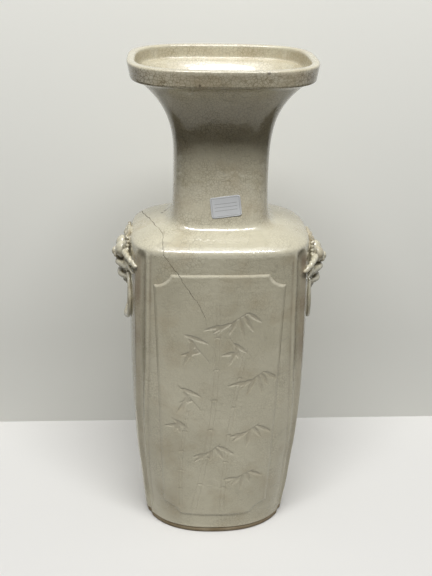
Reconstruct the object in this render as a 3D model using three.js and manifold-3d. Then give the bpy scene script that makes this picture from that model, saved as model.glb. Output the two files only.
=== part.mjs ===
// Crackle-glazed baluster vase of rounded rectangular section.
// It is slab-built: four moulded walls are luted together at fluted corners, on a base and a foot ring,
// and carry a shoulder, a neck, a flaring mouth and an upright lip.
// Two lion masks with mock rings are sprigged on the sides.
// Millimetres, +Z up. The origin is the middle of the face that the foot stands on.
// The front faces -Y, and the masks are on the -X and +X sides.

import * as THREE from 'three';
import { mergeVertices } from 'three/addons/utils/BufferGeometryUtils.js';
import Module from 'manifold-3d';

const wasm = await Module();
wasm.setup();

// Whole height, and the heights of the clay members that share it.
// The walls take what the others leave.
const vaseHeight = 600;
const footRingHeight = 9;
const baseThickness = 12;
const shoulderHeight = 29;
const neckHeight = 113;
const flareHeight = 42;
const lipHeight = 18;

// Levels that follow from them: up from the foot, and down from the rim
const baseBottom = footRingHeight;
const wallBottom = baseBottom + baseThickness;
const lipBottom = vaseHeight - lipHeight;
const flareBottom = lipBottom - flareHeight;
const neckBottom = flareBottom - neckHeight;
const wallTop = neckBottom - shoulderHeight;
const wallHeight = wallTop - wallBottom;

// The widest place of the body, as a share of the wall's height, and the waist, above the neck's foot
const bellyShare = 239 / 377;
const waistRise = 43;
const bellyLevel = wallBottom + bellyShare * wallHeight;
const waistLevel = neckBottom + waistRise;

// Half sizes of the plan at the levels that shape the outline.
// Squareness is the exponent of the superellipse: 2 is an ellipse, and more is squarer.
const foot = { halfWidth: 92.5, halfDepth: 72, squareness: 2.3 };
const belly = { halfWidth: 107, halfDepth: 83, squareness: 3.6 };
const wallHead = { halfWidth: 104.3, halfDepth: 80.5, squareness: 3.6 };
const neckFoot = { halfWidth: 56, halfDepth: 46, squareness: 3.8 };
const waist = { halfWidth: 54.2, halfDepth: 40.5, squareness: 3.8 };
const flareHead = { halfWidth: 96.5, halfDepth: 74, squareness: 3.2 };
const lipFoot = { halfWidth: 101, halfDepth: 80, squareness: 3.4 };
const lipHead = { halfWidth: 104.5, halfDepth: 81.5, squareness: 3.1 };

// The foot is rounder than the body, and turns squarer up to this height above the table
const footBlendHeight = 200;

// Shape of the shoulder and of the flare: a slope that is nearly straight, and turns down at a tight edge
const filletRadius = 11;
const domeSlope = 1.2;
const domeEdge = 1.6;
const flarePower = 3.4;

// Wall thicknesses
const bodyThickness = 9;
const neckThickness = 8;
const lipThickness = 9;
const footRingWidth = 13;
const footBevel = 2;
const lipEdgeRadius = 2.5;

// The film of slip between two luted members
const slipGap = 0.3;

// Hollow flute between two arrises at each corner
const fluteHalfWidth = 9;
const fluteDepth = 3.6;
const arrisHeight = 1.2;
const arrisWidth = 0.24;
const fluteDirection = THREE.MathUtils.degToRad(41.5);
const fluteFadeLength = 9;
const fluteFootFade = 40;

// The flutes run down beside the panel, so that they swing to the sides by this angle towards the foot
const fluteSwing = THREE.MathUtils.degToRad(16.5);
const fluteSwingHeight = 330;

// Raised panel of the front and back walls
const panelRelief = 1.4;
const panelHeadDrop = 23;
const panelFootRise = 9;
const panelHeadHalfWidth = 75.5;
const panelFootHalfWidth = 66;
const panelNotch = 21.5;
const panelNotchLift = 7;

// Coils of clay worked into the inside seams
const coilHalfWidth = 9;
const coilThickness = 5;
const coilRootThickness = 1;

// Lion masks and mock rings
const maskDrop = 29.5;
const maskLevel = wallTop - maskDrop;
const maskReach = 22.5;
const maskHalfWidth = 26;
const maskHalfHeight = 38;
const maskEdge = 3;
const maskMouthDepth = 9;
const ringRadius = 32;
const ringSection = 2.6;
const ringHang = 23.9;
const ringSwing = 9;

// Paper label on the neck
const labelWidth = 34.5;
const labelHeight = 23.5;
const labelCorner = 3;
const labelThickness = 0.3;
const labelOffset = 4.6;
const labelRise = 1.2;
const labelTilt = THREE.MathUtils.degToRad(6.7);

// Counts of facets
const frontSegments = 8;
const sideSegments = 6;
const wallRows = 12;
const neckRows = 8;
const maskRows = 29;
const maskColumns = 15;
const profileSteps = 240;

const vaseGroup = new THREE.Group();
vaseGroup.name = 'baluster_vase';

// Outline of the vase

function lerp(from, to, share) {
  return from + (to - from) * share;
}

function smooth(share) {
  const t = THREE.MathUtils.clamp(share, 0, 1);
  return t * t * (3 - 2 * t);
}

// A half size below the shoulder: a parabola down to the foot and another up to the wall's head
function bodyHalf(z, key) {
  if (z < bellyLevel) {
    const down = (bellyLevel - z) / bellyLevel;
    return belly[key] - (belly[key] - foot[key]) * down * down;
  }
  const up = (z - bellyLevel) / (wallTop - bellyLevel);
  return belly[key] - (belly[key] - wallHead[key]) * up * up;
}

// A half size above the shoulder: a slight waist, then a flare that rises as a power of the height
function neckHalf(z, key) {
  if (z < waistLevel) {
    const down = (waistLevel - z) / waistRise;
    return waist[key] + (neckFoot[key] - waist[key]) * down * down;
  }
  const up = (z - waistLevel) / (lipBottom - waistLevel);
  return waist[key] + (flareHead[key] - waist[key]) * Math.pow(up, flarePower);
}

// A point of the shoulder: run goes from 1 at the wall to 0 at the neck, over a dome and a hollow fillet
function shoulderPoint(run, key) {
  const width = wallHead[key] - neckFoot[key];
  const fromNeck = run * (wallHead.halfWidth - neckFoot.halfWidth);
  const dome = Math.pow(Math.max(1 - Math.pow(run, domeSlope), 0), 1 / domeEdge);
  const inFillet = Math.max(filletRadius - fromNeck, 0);
  const fillet = filletRadius - Math.sqrt(filletRadius * filletRadius - inFillet * inFillet);
  return { half: neckFoot[key] + run * width, z: wallTop + dome * (shoulderHeight - filletRadius) + fillet };
}

// The outline as a polyline of half size and height, from the table to the top of the flare
function outerOutline(key) {
  const points = [];
  for (let i = 0; i <= profileSteps; i += 1) {
    const z = (wallTop * i) / profileSteps;
    points.push({ half: bodyHalf(z, key), z });
  }
  for (let i = 1; i <= profileSteps; i += 1) {
    const turn = (Math.PI / 2) * (i / profileSteps);
    points.push(shoulderPoint(0.5 * (Math.cos(turn) + 1 - Math.sin(turn)), key));
  }
  for (let i = 1; i <= profileSteps; i += 1) {
    const z = lerp(neckBottom, lipBottom, i / profileSteps);
    points.push({ half: neckHalf(z, key), z });
  }
  return points;
}

function thicknessAt(z) {
  return lerp(bodyThickness, neckThickness, smooth((z - wallTop) / shoulderHeight));
}

// The inside of the wall: the outline moved inwards by the thickness, square to itself
function innerOutline(outline) {
  return outline.map((point, i) => {
    const before = outline[Math.max(i - 1, 0)];
    const after = outline[Math.min(i + 1, outline.length - 1)];
    const rise = after.z - before.z;
    const spread = after.half - before.half;
    const length = Math.hypot(rise, spread);
    const thickness = thicknessAt(point.z);
    return { half: point.half - (thickness * rise) / length, z: point.z + (thickness * spread) / length };
  });
}

function halfAt(outline, z) {
  let i = 1;
  while (i < outline.length - 1 && outline[i].z < z) i += 1;
  const low = outline[i - 1];
  const high = outline[i];
  const share = THREE.MathUtils.clamp((z - low.z) / (high.z - low.z), 0, 1);
  return lerp(low.half, high.half, share);
}

const outerWidths = outerOutline('halfWidth');
const outerDepths = outerOutline('halfDepth');
const innerWidths = innerOutline(outerWidths);
const innerDepths = innerOutline(outerDepths);

function squarenessAt(z) {
  if (z < wallTop) return lerp(foot.squareness, belly.squareness, smooth(z / footBlendHeight));
  if (z < neckBottom) return lerp(wallHead.squareness, neckFoot.squareness, (z - wallTop) / shoulderHeight);
  return lerp(waist.squareness, flareHead.squareness, smooth((z - waistLevel) / (lipBottom - waistLevel)));
}

// Rings of the plan at one level: the outer face, which has the flutes, and the inner face
function outerRing(z, swell = 0) {
  return {
    halfWidth: halfAt(outerWidths, z) + swell,
    halfDepth: halfAt(outerDepths, z) + swell,
    squareness: squarenessAt(z),
    fluted: true,
    z,
  };
}

function innerRing(z, shrink = 0) {
  return {
    halfWidth: halfAt(innerWidths, z) - shrink,
    halfDepth: halfAt(innerDepths, z) - shrink,
    squareness: squarenessAt(z),
    fluted: false,
    z,
  };
}

// Plan of the vase

// The superellipse in one direction: the direction of the ellipse, stretched to the squarer curve
function basePoint(ring, direction) {
  const c = Math.cos(direction);
  const s = Math.sin(direction);
  const n = ring.squareness;
  const stretch = Math.pow(Math.pow(Math.abs(c), n) + Math.pow(Math.abs(s), n), -1 / n);
  return new THREE.Vector2(ring.halfWidth * c * stretch, ring.halfDepth * s * stretch);
}

function planNormal(ring, point) {
  const n = ring.squareness;
  const x = Math.sign(point.x) * Math.pow(Math.abs(point.x / ring.halfWidth), n - 1) / ring.halfWidth;
  const y = Math.sign(point.y) * Math.pow(Math.abs(point.y / ring.halfDepth), n - 1) / ring.halfDepth;
  return new THREE.Vector2(x, y).normalize();
}

// How far the plan's direction turns along a short length at a corner, measured where the body is widest
function turnAlong(length) {
  const step = 0.01;
  const ring = outerRing(bellyLevel);
  const from = basePoint(ring, fluteDirection - step);
  const to = basePoint(ring, fluteDirection + step);
  return (length * 2 * step) / from.distanceTo(to);
}

const fluteHalfAngle = turnAlong(fluteHalfWidth);

// Depth of the flute across itself, from 0 at its arrises to 1 at its bottom, and the arrises beside it
function fluteRelief(direction, z) {
  const folded = Math.abs(Math.atan2(Math.abs(Math.sin(direction)), Math.abs(Math.cos(direction))));
  const across = Math.abs(folded - fluteDirection) / fluteHalfAngle;
  const hollow = across < 1 ? Math.pow(1 - across * across, 2) : 0;
  const ridge = Math.exp(-Math.pow((across - 1.05) / arrisWidth, 2));
  const head = smooth((wallTop - z) / fluteFadeLength);
  const low = lerp(0.35, 1, smooth(z / fluteFootFade));
  return head * low * (arrisHeight * ridge - fluteDepth * hollow);
}

// The direction of a facet line at one level: below the swing's height it turns to the sides,
// most at a flute and not at all in the middle of a wall
function swungDirection(direction, z) {
  const quarter = Math.PI / 2;
  const folded = Math.atan2(Math.abs(Math.sin(direction)), Math.abs(Math.cos(direction)));
  const share = Math.min(folded / fluteDirection, (quarter - folded) / (quarter - fluteDirection));
  const below = Math.max(1 - z / fluteSwingHeight, 0);
  return direction - Math.sign(Math.sin(2 * direction)) * fluteSwing * below * below * smooth(share);
}

function ringPoint(ring, direction) {
  const point = basePoint(ring, swungDirection(direction, ring.z));
  if (ring.fluted && ring.z < wallTop) {
    point.addScaledVector(planNormal(ring, point), fluteRelief(direction, ring.z));
  }
  return new THREE.Vector3(point.x, point.y, ring.z);
}

// Directions of the facets between two corner seams, closer together in the flutes
function spanDirections(start, end, segments, seamAngle) {
  const steps = [0.5, 1.05, 1.6].map((step) => step * fluteHalfAngle);
  const list = [start + seamAngle, ...steps.map((step) => start + step)];
  const from = start + steps[2];
  const to = end - steps[2];
  for (let i = 1; i < segments; i += 1) list.push(lerp(from, to, i / segments));
  list.push(...steps.map((step) => end - step).reverse(), end - seamAngle);
  return list;
}

const spans = {
  right: { start: -fluteDirection, end: fluteDirection, segments: sideSegments },
  back: { start: fluteDirection, end: Math.PI - fluteDirection, segments: frontSegments },
  left: { start: Math.PI - fluteDirection, end: Math.PI + fluteDirection, segments: sideSegments },
  front: { start: Math.PI + fluteDirection, end: 2 * Math.PI - fluteDirection, segments: frontSegments },
};

const wholeRound = Object.values(spans).flatMap(
  ({ start, end, segments }) => spanDirections(start, end, segments, 0).slice(0, -1),
);

// Solids from rings

function geometryFrom(points, faces) {
  const geometry = new THREE.BufferGeometry();
  const places = points.flatMap((point) => point.toArray());
  geometry.setAttribute('position', new THREE.Float32BufferAttribute(places, 3));
  geometry.setIndex(faces.flat());
  let volume = 0;
  for (const [a, b, c] of faces) volume += points[a].dot(points[b].clone().cross(points[c]));
  if (volume < 0) geometry.setIndex(faces.map(([a, b, c]) => [a, c, b]).flat());
  return geometry;
}

function quad(faces, a, b, c, d) {
  faces.push([a, b, c], [a, c, d]);
}

// A hoop: a closed section of rings, carried all the way round
function hoop(rings) {
  const count = wholeRound.length;
  const points = rings.flatMap((ring) => wholeRound.map((direction) => ringPoint(ring, direction)));
  const faces = [];
  rings.forEach((_, row) => {
    const next = ((row + 1) % rings.length) * count;
    for (let i = 0; i < count; i += 1) {
      const j = (i + 1) % count;
      quad(faces, row * count + i, row * count + j, next + j, next + i);
    }
  });
  return geometryFrom(points, faces);
}

// A block: rings from the bottom up, with a flat cap at each end
function block(rings) {
  const count = wholeRound.length;
  const points = rings.flatMap((ring) => wholeRound.map((direction) => ringPoint(ring, direction)));
  const bottomMiddle = points.push(new THREE.Vector3(0, 0, rings[0].z)) - 1;
  const topMiddle = points.push(new THREE.Vector3(0, 0, rings.at(-1).z)) - 1;
  const top = (rings.length - 1) * count;
  const faces = [];
  for (let i = 0; i < count; i += 1) {
    const j = (i + 1) % count;
    for (let row = 0; row < rings.length - 1; row += 1) {
      quad(faces, row * count + i, row * count + j, (row + 1) * count + j, (row + 1) * count + i);
    }
    faces.push([bottomMiddle, j, i], [topMiddle, top + i, top + j]);
  }
  return geometryFrom(points, faces);
}

// A plate: matching outer and inner points, row by row, closed at its ends and sides.
// Its two sides are split along the same diagonals, so that neighbours at a seam keep their gap.
function plate(outerRows, innerRows) {
  const rows = outerRows.length;
  const columns = outerRows[0].length;
  const points = [...outerRows.flat(), ...innerRows.flat()];
  const outer = (row, column) => row * columns + column;
  const inner = (row, column) => (rows + row) * columns + column;
  const faces = [];
  for (let row = 0; row < rows - 1; row += 1) {
    for (let column = 0; column < columns - 1; column += 1) {
      const corners = [[row, column], [row, column + 1], [row + 1, column + 1], [row + 1, column]];
      quad(faces, ...corners.map((corner) => outer(...corner)));
      quad(faces, ...corners.map((corner) => inner(...corner)).reverse());
    }
    for (const column of [0, columns - 1]) {
      const side = [outer(row, column), outer(row + 1, column), inner(row + 1, column), inner(row, column)];
      quad(faces, ...(column === 0 ? side : [side[2], side[1], side[0], side[3]]));
    }
  }
  for (let column = 0; column < columns - 1; column += 1) {
    for (const row of [0, rows - 1]) {
      const end = [inner(row, column), inner(row, column + 1), outer(row, column + 1), outer(row, column)];
      quad(faces, ...(row === 0 ? end : end.reverse()));
    }
  }
  return geometryFrom(points, faces);
}

function levels(from, to, count) {
  return Array.from({ length: count }, (_, i) => lerp(from, to, i / (count - 1)));
}

// Booleans

function solidOf(geometry) {
  const bare = geometry.clone();
  bare.deleteAttribute('normal');
  bare.deleteAttribute('uv');
  const merged = mergeVertices(bare, 1e-4);
  return new wasm.Manifold(new wasm.Mesh({
    numProp: 3,
    vertProperties: new Float32Array(merged.attributes.position.array),
    triVerts: new Uint32Array(merged.index.array),
  }));
}

function geometryOf(solid) {
  const mesh = solid.getMesh();
  const geometry = new THREE.BufferGeometry();
  geometry.setAttribute('position', new THREE.BufferAttribute(mesh.vertProperties, 3));
  geometry.setIndex(new THREE.BufferAttribute(mesh.triVerts, 1));
  return geometry;
}

// Looks

function glaze(name) {
  return new THREE.MeshStandardMaterial({ name, color: '#d5cdb6', roughness: 0.25, metalness: 0 });
}

function bareClay(name) {
  return new THREE.MeshStandardMaterial({ name, color: '#b39a78', roughness: 0.85, metalness: 0 });
}

function addPiece(name, geometry, material) {
  const shaded = geometry.clone();
  shaded.computeVertexNormals();
  const mesh = new THREE.Mesh(shaded, material);
  mesh.name = name;
  vaseGroup.add(mesh);
}

// Foot ring: a bevelled band under the base, with a recess inside it
function footRing() {
  const top = footRingHeight - slipGap;
  return hoop([
    outerRing(0, -footBevel),
    outerRing(footBevel),
    outerRing(top),
    innerRing(top, footRingWidth - bodyThickness),
    innerRing(0, footRingWidth - bodyThickness),
  ]);
}

// Base: a slab that closes the body, flush with the foot ring and the walls
function baseSlab() {
  return block([outerRing(baseBottom), outerRing(wallBottom - slipGap)]);
}

// Outline of the panel, seen from the front: a tapering rectangle with a shallow bite at each corner,
// whose middle lies beyond the panel's edge
function panelOutline() {
  const head = wallTop - panelHeadDrop;
  const low = wallBottom + panelFootRise;
  const quarter = Math.PI / 2;
  const shape = new THREE.Shape();
  const dip = Math.asin(panelNotchLift / panelNotch);
  const top = head + panelNotchLift;
  const bottom = low - panelNotchLift;
  shape.moveTo(panelFootHalfWidth - panelNotch * Math.cos(dip), low);
  shape.absarc(panelFootHalfWidth, bottom, panelNotch, 2 * quarter - dip, quarter, true);
  shape.absarc(panelHeadHalfWidth, top, panelNotch, 3 * quarter, 2 * quarter + dip, true);
  shape.absarc(-panelHeadHalfWidth, top, panelNotch, -dip, -quarter, true);
  shape.absarc(-panelFootHalfWidth, bottom, panelNotch, quarter, dip, true);
  shape.closePath();
  return shape;
}

// A prism that stands through the front or the back: its outline is drawn in x and z
function prismThrough(shape, facing) {
  const depth = belly.halfDepth + 2 * panelRelief;
  const geometry = new THREE.ExtrudeGeometry(shape, { depth, bevelEnabled: false, curveSegments: 6 });
  geometry.rotateX(Math.PI / 2);
  if (facing > 0) geometry.rotateZ(Math.PI);
  return solidOf(geometry);
}

// A wall between two corner seams. The front and back walls are moulded with the raised panel.
function wall(name) {
  const { start, end, segments } = spans[name];
  const seamAngle = turnAlong(slipGap / 2);
  const directions = spanDirections(start, end, segments, seamAngle);
  const rows = [...levels(wallBottom, wallTop - fluteFadeLength, wallRows), wallTop - slipGap];
  const surface = (ringAt) => rows.map((z) => directions.map((direction) => ringPoint(ringAt(z), direction)));
  const face = (swell) => surface((z) => outerRing(z, swell));
  const slab = plate(face(0), surface((z) => innerRing(z)));
  if (name === 'left' || name === 'right') return slab;
  const raised = solidOf(plate(face(panelRelief), face(-bodyThickness / 2)));
  const panel = raised.intersect(prismThrough(panelOutline(), name === 'back' ? 1 : -1));
  return geometryOf(solidOf(slab).add(panel));
}

// Coil inside a corner seam: it follows the inner face and swells towards the middle of its width
function cornerCoil(seam) {
  const reach = turnAlong(coilHalfWidth);
  const columns = [-1, -0.6, 0, 0.6, 1];
  const rows = levels(wallBottom + 2 * coilThickness, wallTop - fluteFadeLength, 9);
  const surface = (depthOf) => rows.map((z) => columns.map(
    (across) => ringPoint(innerRing(z, depthOf(across)), seam + across * reach),
  ));
  const outer = surface(() => slipGap);
  const inner = surface((across) => slipGap + coilRootThickness + coilThickness * (1 - across * across));
  return plate(outer, inner);
}

// Coil round the inside of the base, in the angle between the base and the walls
function baseCoil() {
  const low = wallBottom;
  return hoop([
    innerRing(low, slipGap),
    innerRing(low + coilThickness, slipGap),
    innerRing(low + 0.7 * coilThickness, slipGap + 0.7 * coilThickness),
    innerRing(low, slipGap + coilThickness),
  ]);
}

// A member of the hollow stack between two levels: up the outer face and down the inner one
function stackMember(low, high, outerCount, innerCount) {
  const top = high - slipGap;
  return hoop([
    ...levels(low, top, outerCount).map((z) => outerRing(z)),
    ...levels(top, low, innerCount).map((z) => innerRing(z)),
  ]);
}

// Shoulder: its rings lie closer together where the dome turns over
function shoulder() {
  const top = neckBottom - slipGap;
  const outerLevels = [0, 0.1, 0.262, 0.461, 0.595, 0.724, 0.896, 1].map((share) => lerp(wallTop, top, share));
  const innerLevels = [1, 0.6, 0.45, 0.3, 0.14, 0].map((share) => lerp(wallTop, top, share));
  return hoop([...outerLevels.map((z) => outerRing(z)), ...innerLevels.map((z) => innerRing(z))]);
}

// Lip: an upright band that leans out, with rounded edges and a plumb inside
function lipRing(z, swell) {
  const share = (z - lipBottom) / lipHeight;
  return {
    halfWidth: lerp(lipFoot.halfWidth, lipHead.halfWidth, share) + swell,
    halfDepth: lerp(lipFoot.halfDepth, lipHead.halfDepth, share) + swell,
    squareness: lerp(lipFoot.squareness, lipHead.squareness, share),
    fluted: false,
    z,
  };
}

function lipBand() {
  const soft = 0.3 * lipEdgeRadius;
  const step = lipBottom + lipEdgeRadius;
  const plumb = (z) => lipHead.halfWidth - lipThickness - lipRing(z, 0).halfWidth;
  return hoop([
    lipRing(lipBottom, -lipEdgeRadius),
    lipRing(lipBottom + soft, -soft),
    lipRing(lipBottom + lipEdgeRadius, 0),
    lipRing(vaseHeight - lipEdgeRadius, 0),
    lipRing(vaseHeight - soft, -soft),
    lipRing(vaseHeight, -lipEdgeRadius),
    lipRing(vaseHeight, lipEdgeRadius - lipThickness),
    lipRing(vaseHeight - lipEdgeRadius, -lipThickness),
    lipRing(step, plumb(step)),
    innerRing(lipBottom),
  ]);
}

// Height of the side wall's face over the middle plane, at one place across and one level
function sideFace(across, z) {
  const ring = outerRing(z);
  const share = Math.pow(Math.abs(across) / ring.halfDepth, ring.squareness);
  return ring.halfWidth * Math.pow(1 - share, 1 / ring.squareness);
}

// Lumps of a lion mask, all in shares of the mask's reach, half width and half height:
// the middle as reach, place across and rise from the nose, then the three radii.
// Those with a place across come in pairs.
const maskLumps = {
  skull: { at: [0.15, 0, 0.1], spread: [0.34, 0.85, 0.84] },
  brow: { at: [0.44, 0.37, 0.33], spread: [0.28, 0.35, 0.33] },
  eye: { at: [0.68, 0.35, 0.12], spread: [0.12, 0.13, 0.08] },
  bridge: { at: [0.5, 0, 0.24], spread: [0.2, 0.15, 0.24] },
  nose: { at: [0.75, 0, 0.05], spread: [0.19, 0.2, 0.14] },
  upperLip: { at: [0.56, 0, -0.23], spread: [0.3, 0.3, 0.11] },
  lipSide: { at: [0.38, 0.42, -0.27], spread: [0.26, 0.36, 0.1] },
  jaw: { at: [0.38, 0, -0.67], spread: [0.25, 0.52, 0.11] },
  beard: { at: [0.22, 0, -0.86], spread: [0.2, 0.34, 0.13] },
  ear: { at: [0.22, 0.78, 0.46], spread: [0.2, 0.14, 0.15] },
  crownCurl: { at: [0.18, 0.28, 0.8], spread: [0.16, 0.13, 0.08] },
  sideCurl: { at: [0.16, 0.6, 0.72], spread: [0.16, 0.13, 0.08] },
  upperLock: { at: [0.18, 0.86, 0.22], spread: [0.18, 0.14, 0.1] },
  lowerLock: { at: [0.18, 0.84, -0.1], spread: [0.16, 0.16, 0.09] },
};
const maskMouth = { at: [0, -0.48], spread: [0.6, 0.1] };
const ringLevel = maskLevel + maskMouth.at[1] * maskHalfHeight - ringHang;

// How far the mask stands out at one place: the highest lump there, sunk where the mouth is open
function maskRelief(across, rise) {
  const mouthAcross = (across - maskMouth.at[0]) / maskMouth.spread[0];
  const mouthRise = (rise - maskMouth.at[1]) / maskMouth.spread[1];
  let reach = maskEdge;
  for (const { at, spread } of Object.values(maskLumps)) {
    const sideways = (Math.abs(across) - at[1]) / spread[1];
    const upwards = (rise - at[2]) / spread[2];
    const left = 1 - sideways * sideways - upwards * upwards;
    if (left > 0) reach = Math.max(reach, maskReach * (at[0] + spread[0] * Math.sqrt(left)));
  }
  const open = mouthAcross * mouthAcross + mouthRise * mouthRise < 1;
  return open ? Math.min(reach, maskMouthDepth) : reach;
}

// Lion mask: a relief with an oval outline, whose back follows the wall and which the ring passes through,
// in at one corner of the mouth and out at the other
function lionMask(side) {
  const outline = 2.6;
  const rises = levels(-0.985, 0.985, maskRows);
  const acrosses = levels(-1, 1, maskColumns);
  const face = (reachAt) => rises.map((rise) => acrosses.map((column) => {
    const across = column * Math.pow(1 - Math.pow(Math.abs(rise), outline), 1 / outline);
    const y = across * maskHalfWidth;
    const z = maskLevel + rise * maskHalfHeight;
    return new THREE.Vector3(side * (sideFace(y, z) + slipGap + reachAt(across, rise)), y, z);
  }));
  return solidOf(plate(face(maskRelief), face(() => 0))).subtract(mockRing(side, slipGap));
}

// Mock ring: a round rod bent in a circle that lies on the side wall, with its top in the lion's jaws,
// and swung a little to the front
function mockRing(side, swell = 0) {
  const ring = new THREE.TorusGeometry(ringRadius, ringSection + swell, 8, 26);
  const place = ring.attributes.position;
  for (let i = 0; i < place.count; i += 1) {
    const across = place.getX(i);
    const up = place.getY(i);
    const toRod = ringRadius / Math.hypot(across, up);
    const swing = -side * ringSwing;
    const face = sideFace(across * toRod + swing, ringLevel + up * toRod);
    place.setXYZ(i, face + slipGap + ringSection + place.getZ(i), across + swing, ringLevel + up);
  }
  if (side < 0) ring.rotateZ(Math.PI);
  return solidOf(ring);
}

// Paper label: a small sheet with round corners that follows the neck's front, row by row
function label() {
  const shape = new THREE.Shape();
  const x = labelWidth / 2 - labelCorner;
  const z = labelHeight / 2 - labelCorner;
  const quarter = Math.PI / 2;
  shape.absarc(x, z, labelCorner, 0, quarter, false);
  shape.absarc(-x, z, labelCorner, quarter, 2 * quarter, false);
  shape.absarc(-x, -z, labelCorner, 2 * quarter, 3 * quarter, false);
  shape.absarc(x, -z, labelCorner, 3 * quarter, 4 * quarter, false);
  const depth = neckFoot.halfDepth + labelHeight;
  const cutter = new THREE.ExtrudeGeometry(shape, { depth, bevelEnabled: false, curveSegments: 3 });
  cutter.rotateZ(labelTilt);
  cutter.rotateX(Math.PI / 2);
  const lean = labelWidth * Math.sin(labelTilt) + labelHeight * Math.cos(labelTilt);
  const middle = neckBottom + labelRise + lean / 2;
  cutter.translate(labelOffset, 0, middle);
  const { start, end, segments } = spans.front;
  const directions = spanDirections(start, end, segments, 0);
  const neckLevels = levels(neckBottom, flareBottom - slipGap, neckRows);
  const rows = neckLevels.slice(0, 1 + neckLevels.findIndex((z) => z > middle + lean / 2));
  const face = (swell) => rows.map((row) => directions.map((direction) => {
    const point = ringPoint(outerRing(row, 0), direction);
    return point.add(new THREE.Vector3(0, -swell, 0));
  }));
  return solidOf(plate(face(slipGap + labelThickness), face(slipGap))).intersect(solidOf(cutter));
}

addPiece('foot_ring', footRing(), bareClay('unglazed foot'));
addPiece('base_slab', baseSlab(), bareClay('base clay'));
for (const name of Object.keys(spans)) addPiece(`${name}_wall`, wall(name), glaze(`${name} wall glaze`));
addPiece('shoulder', shoulder(), glaze('shoulder glaze'));
addPiece('neck', stackMember(neckBottom, flareBottom, neckRows, neckRows), glaze('neck glaze'));
addPiece('mouth_flare', stackMember(flareBottom, lipBottom, 5, 4), glaze('flare glaze'));
addPiece('lip_band', lipBand(), glaze('lip glaze'));

const seams = {
  back_right: fluteDirection,
  back_left: Math.PI - fluteDirection,
  front_left: Math.PI + fluteDirection,
  front_right: 2 * Math.PI - fluteDirection,
};
for (const [name, seam] of Object.entries(seams)) {
  addPiece(`seam_coil_${name}`, cornerCoil(seam), bareClay(`${name} coil clay`));
}
addPiece('seam_coil_base', baseCoil(), bareClay('base coil clay'));

for (const [name, side] of [['left', -1], ['right', 1]]) {
  addPiece(`lion_mask_${name}`, geometryOf(lionMask(side)), glaze(`${name} mask glaze`));
  addPiece(`mock_ring_${name}`, geometryOf(mockRing(side)), glaze(`${name} ring glaze`));
}

addPiece('paper_label', geometryOf(label()), new THREE.MeshStandardMaterial({
  name: 'label paper',
  color: '#efece0',
  roughness: 0.8,
  metalness: 0,
}));

export default vaseGroup;
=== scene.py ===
# Crackle-glazed vase of rounded rectangular section, dressed and lit for a studio picture.
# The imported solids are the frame. The pieces made here repeat their sizes in millimetres,
# and meshFrom turns them into metres.
import math
import bpy
import numpy as np
from mathutils import Matrix


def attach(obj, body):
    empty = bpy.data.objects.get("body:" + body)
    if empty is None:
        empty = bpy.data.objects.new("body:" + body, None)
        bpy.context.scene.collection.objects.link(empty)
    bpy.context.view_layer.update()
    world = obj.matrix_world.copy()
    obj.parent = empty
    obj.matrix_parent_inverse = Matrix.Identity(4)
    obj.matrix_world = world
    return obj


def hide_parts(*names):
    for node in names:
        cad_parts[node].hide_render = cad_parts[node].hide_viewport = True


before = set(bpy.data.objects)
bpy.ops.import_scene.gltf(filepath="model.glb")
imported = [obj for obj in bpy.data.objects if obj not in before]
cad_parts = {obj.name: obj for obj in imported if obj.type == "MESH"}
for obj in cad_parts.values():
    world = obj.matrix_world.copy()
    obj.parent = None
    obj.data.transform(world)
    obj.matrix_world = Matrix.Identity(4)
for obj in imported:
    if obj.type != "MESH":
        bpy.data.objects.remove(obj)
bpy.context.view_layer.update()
print("frame loaded:", len(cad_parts), "nodes")

# Sizes of the vase, the same as the solids have
vase = {
    "height": 600.0, "footRing": 9.0, "base": 12.0, "shoulder": 29.0, "neck": 113.0, "flare": 42.0, "lip": 18.0,
    "bellyShare": 239 / 377, "waistRise": 43.0, "footBlend": 200.0,
    "fillet": 11.0, "domeSlope": 1.2, "domeEdge": 1.6, "flarePower": 3.4,
    "bodyWall": 9.0, "neckWall": 8.0, "lipWall": 9.0, "lipEdge": 2.5,
    # half width, half depth and squareness of the plan
    "foot": (92.5, 72.0, 2.3), "belly": (107.0, 83.0, 3.6), "wallHead": (104.3, 80.5, 3.6),
    "neckFoot": (56.0, 46.0, 3.8), "waist": (54.2, 40.5, 3.8), "flareHead": (96.5, 74.0, 3.2),
    "lipFoot": (101.0, 80.0, 3.4), "lipHead": (104.5, 81.5, 3.1),
    "fluteTurn": math.radians(41.5), "fluteHalfWidth": 9.0, "fluteDepth": 3.6, "fluteFade": 9.0,
    "fluteFootFade": 40.0, "fluteFootShare": 0.35, "arris": 1.2, "arrisAt": 1.05, "arrisWidth": 0.24,
    "fluteSwing": math.radians(16.5), "fluteSwingHeight": 330.0,
    "handWave": 0.22,  # unevenness of the hand-pressed wall, in mm
}
lipBottom = vase["height"] - vase["lip"]
flareBottom = lipBottom - vase["flare"]
neckBottom = flareBottom - vase["neck"]
wallTop = neckBottom - vase["shoulder"]
wallBottom = vase["footRing"] + vase["base"]
bellyLevel = wallBottom + vase["bellyShare"] * (wallTop - wallBottom)
waistLevel = neckBottom + vase["waistRise"]


# Smooth step: 3t squared minus 2t cubed, with t held between 0 and 1
def smooth(t):
    t = np.clip(t, 0.0, 1.0)
    return t * t * (3 - 2 * t)


# Share of a stretch of the height: one smooth step up from its foot, times another down to its head
def stretch(z, foot, rise, head, fall):
    return smooth((z - foot) / rise) * smooth((head - z) / fall)


# Value between two others: the first plus a share of their difference
def between(first, last, share):
    return first + (last - first) * share


# Bell curve: e to the power of minus t squared
def bell(t):
    return np.exp(-t ** 2)


# Directions spread evenly round a circle
def roundTurns(count):
    return np.linspace(0, 2 * math.pi, count, endpoint=False)


# Vectors divided by their own lengths
def unit(vectors):
    return vectors / np.linalg.norm(vectors, axis=1, keepdims=True)


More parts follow.
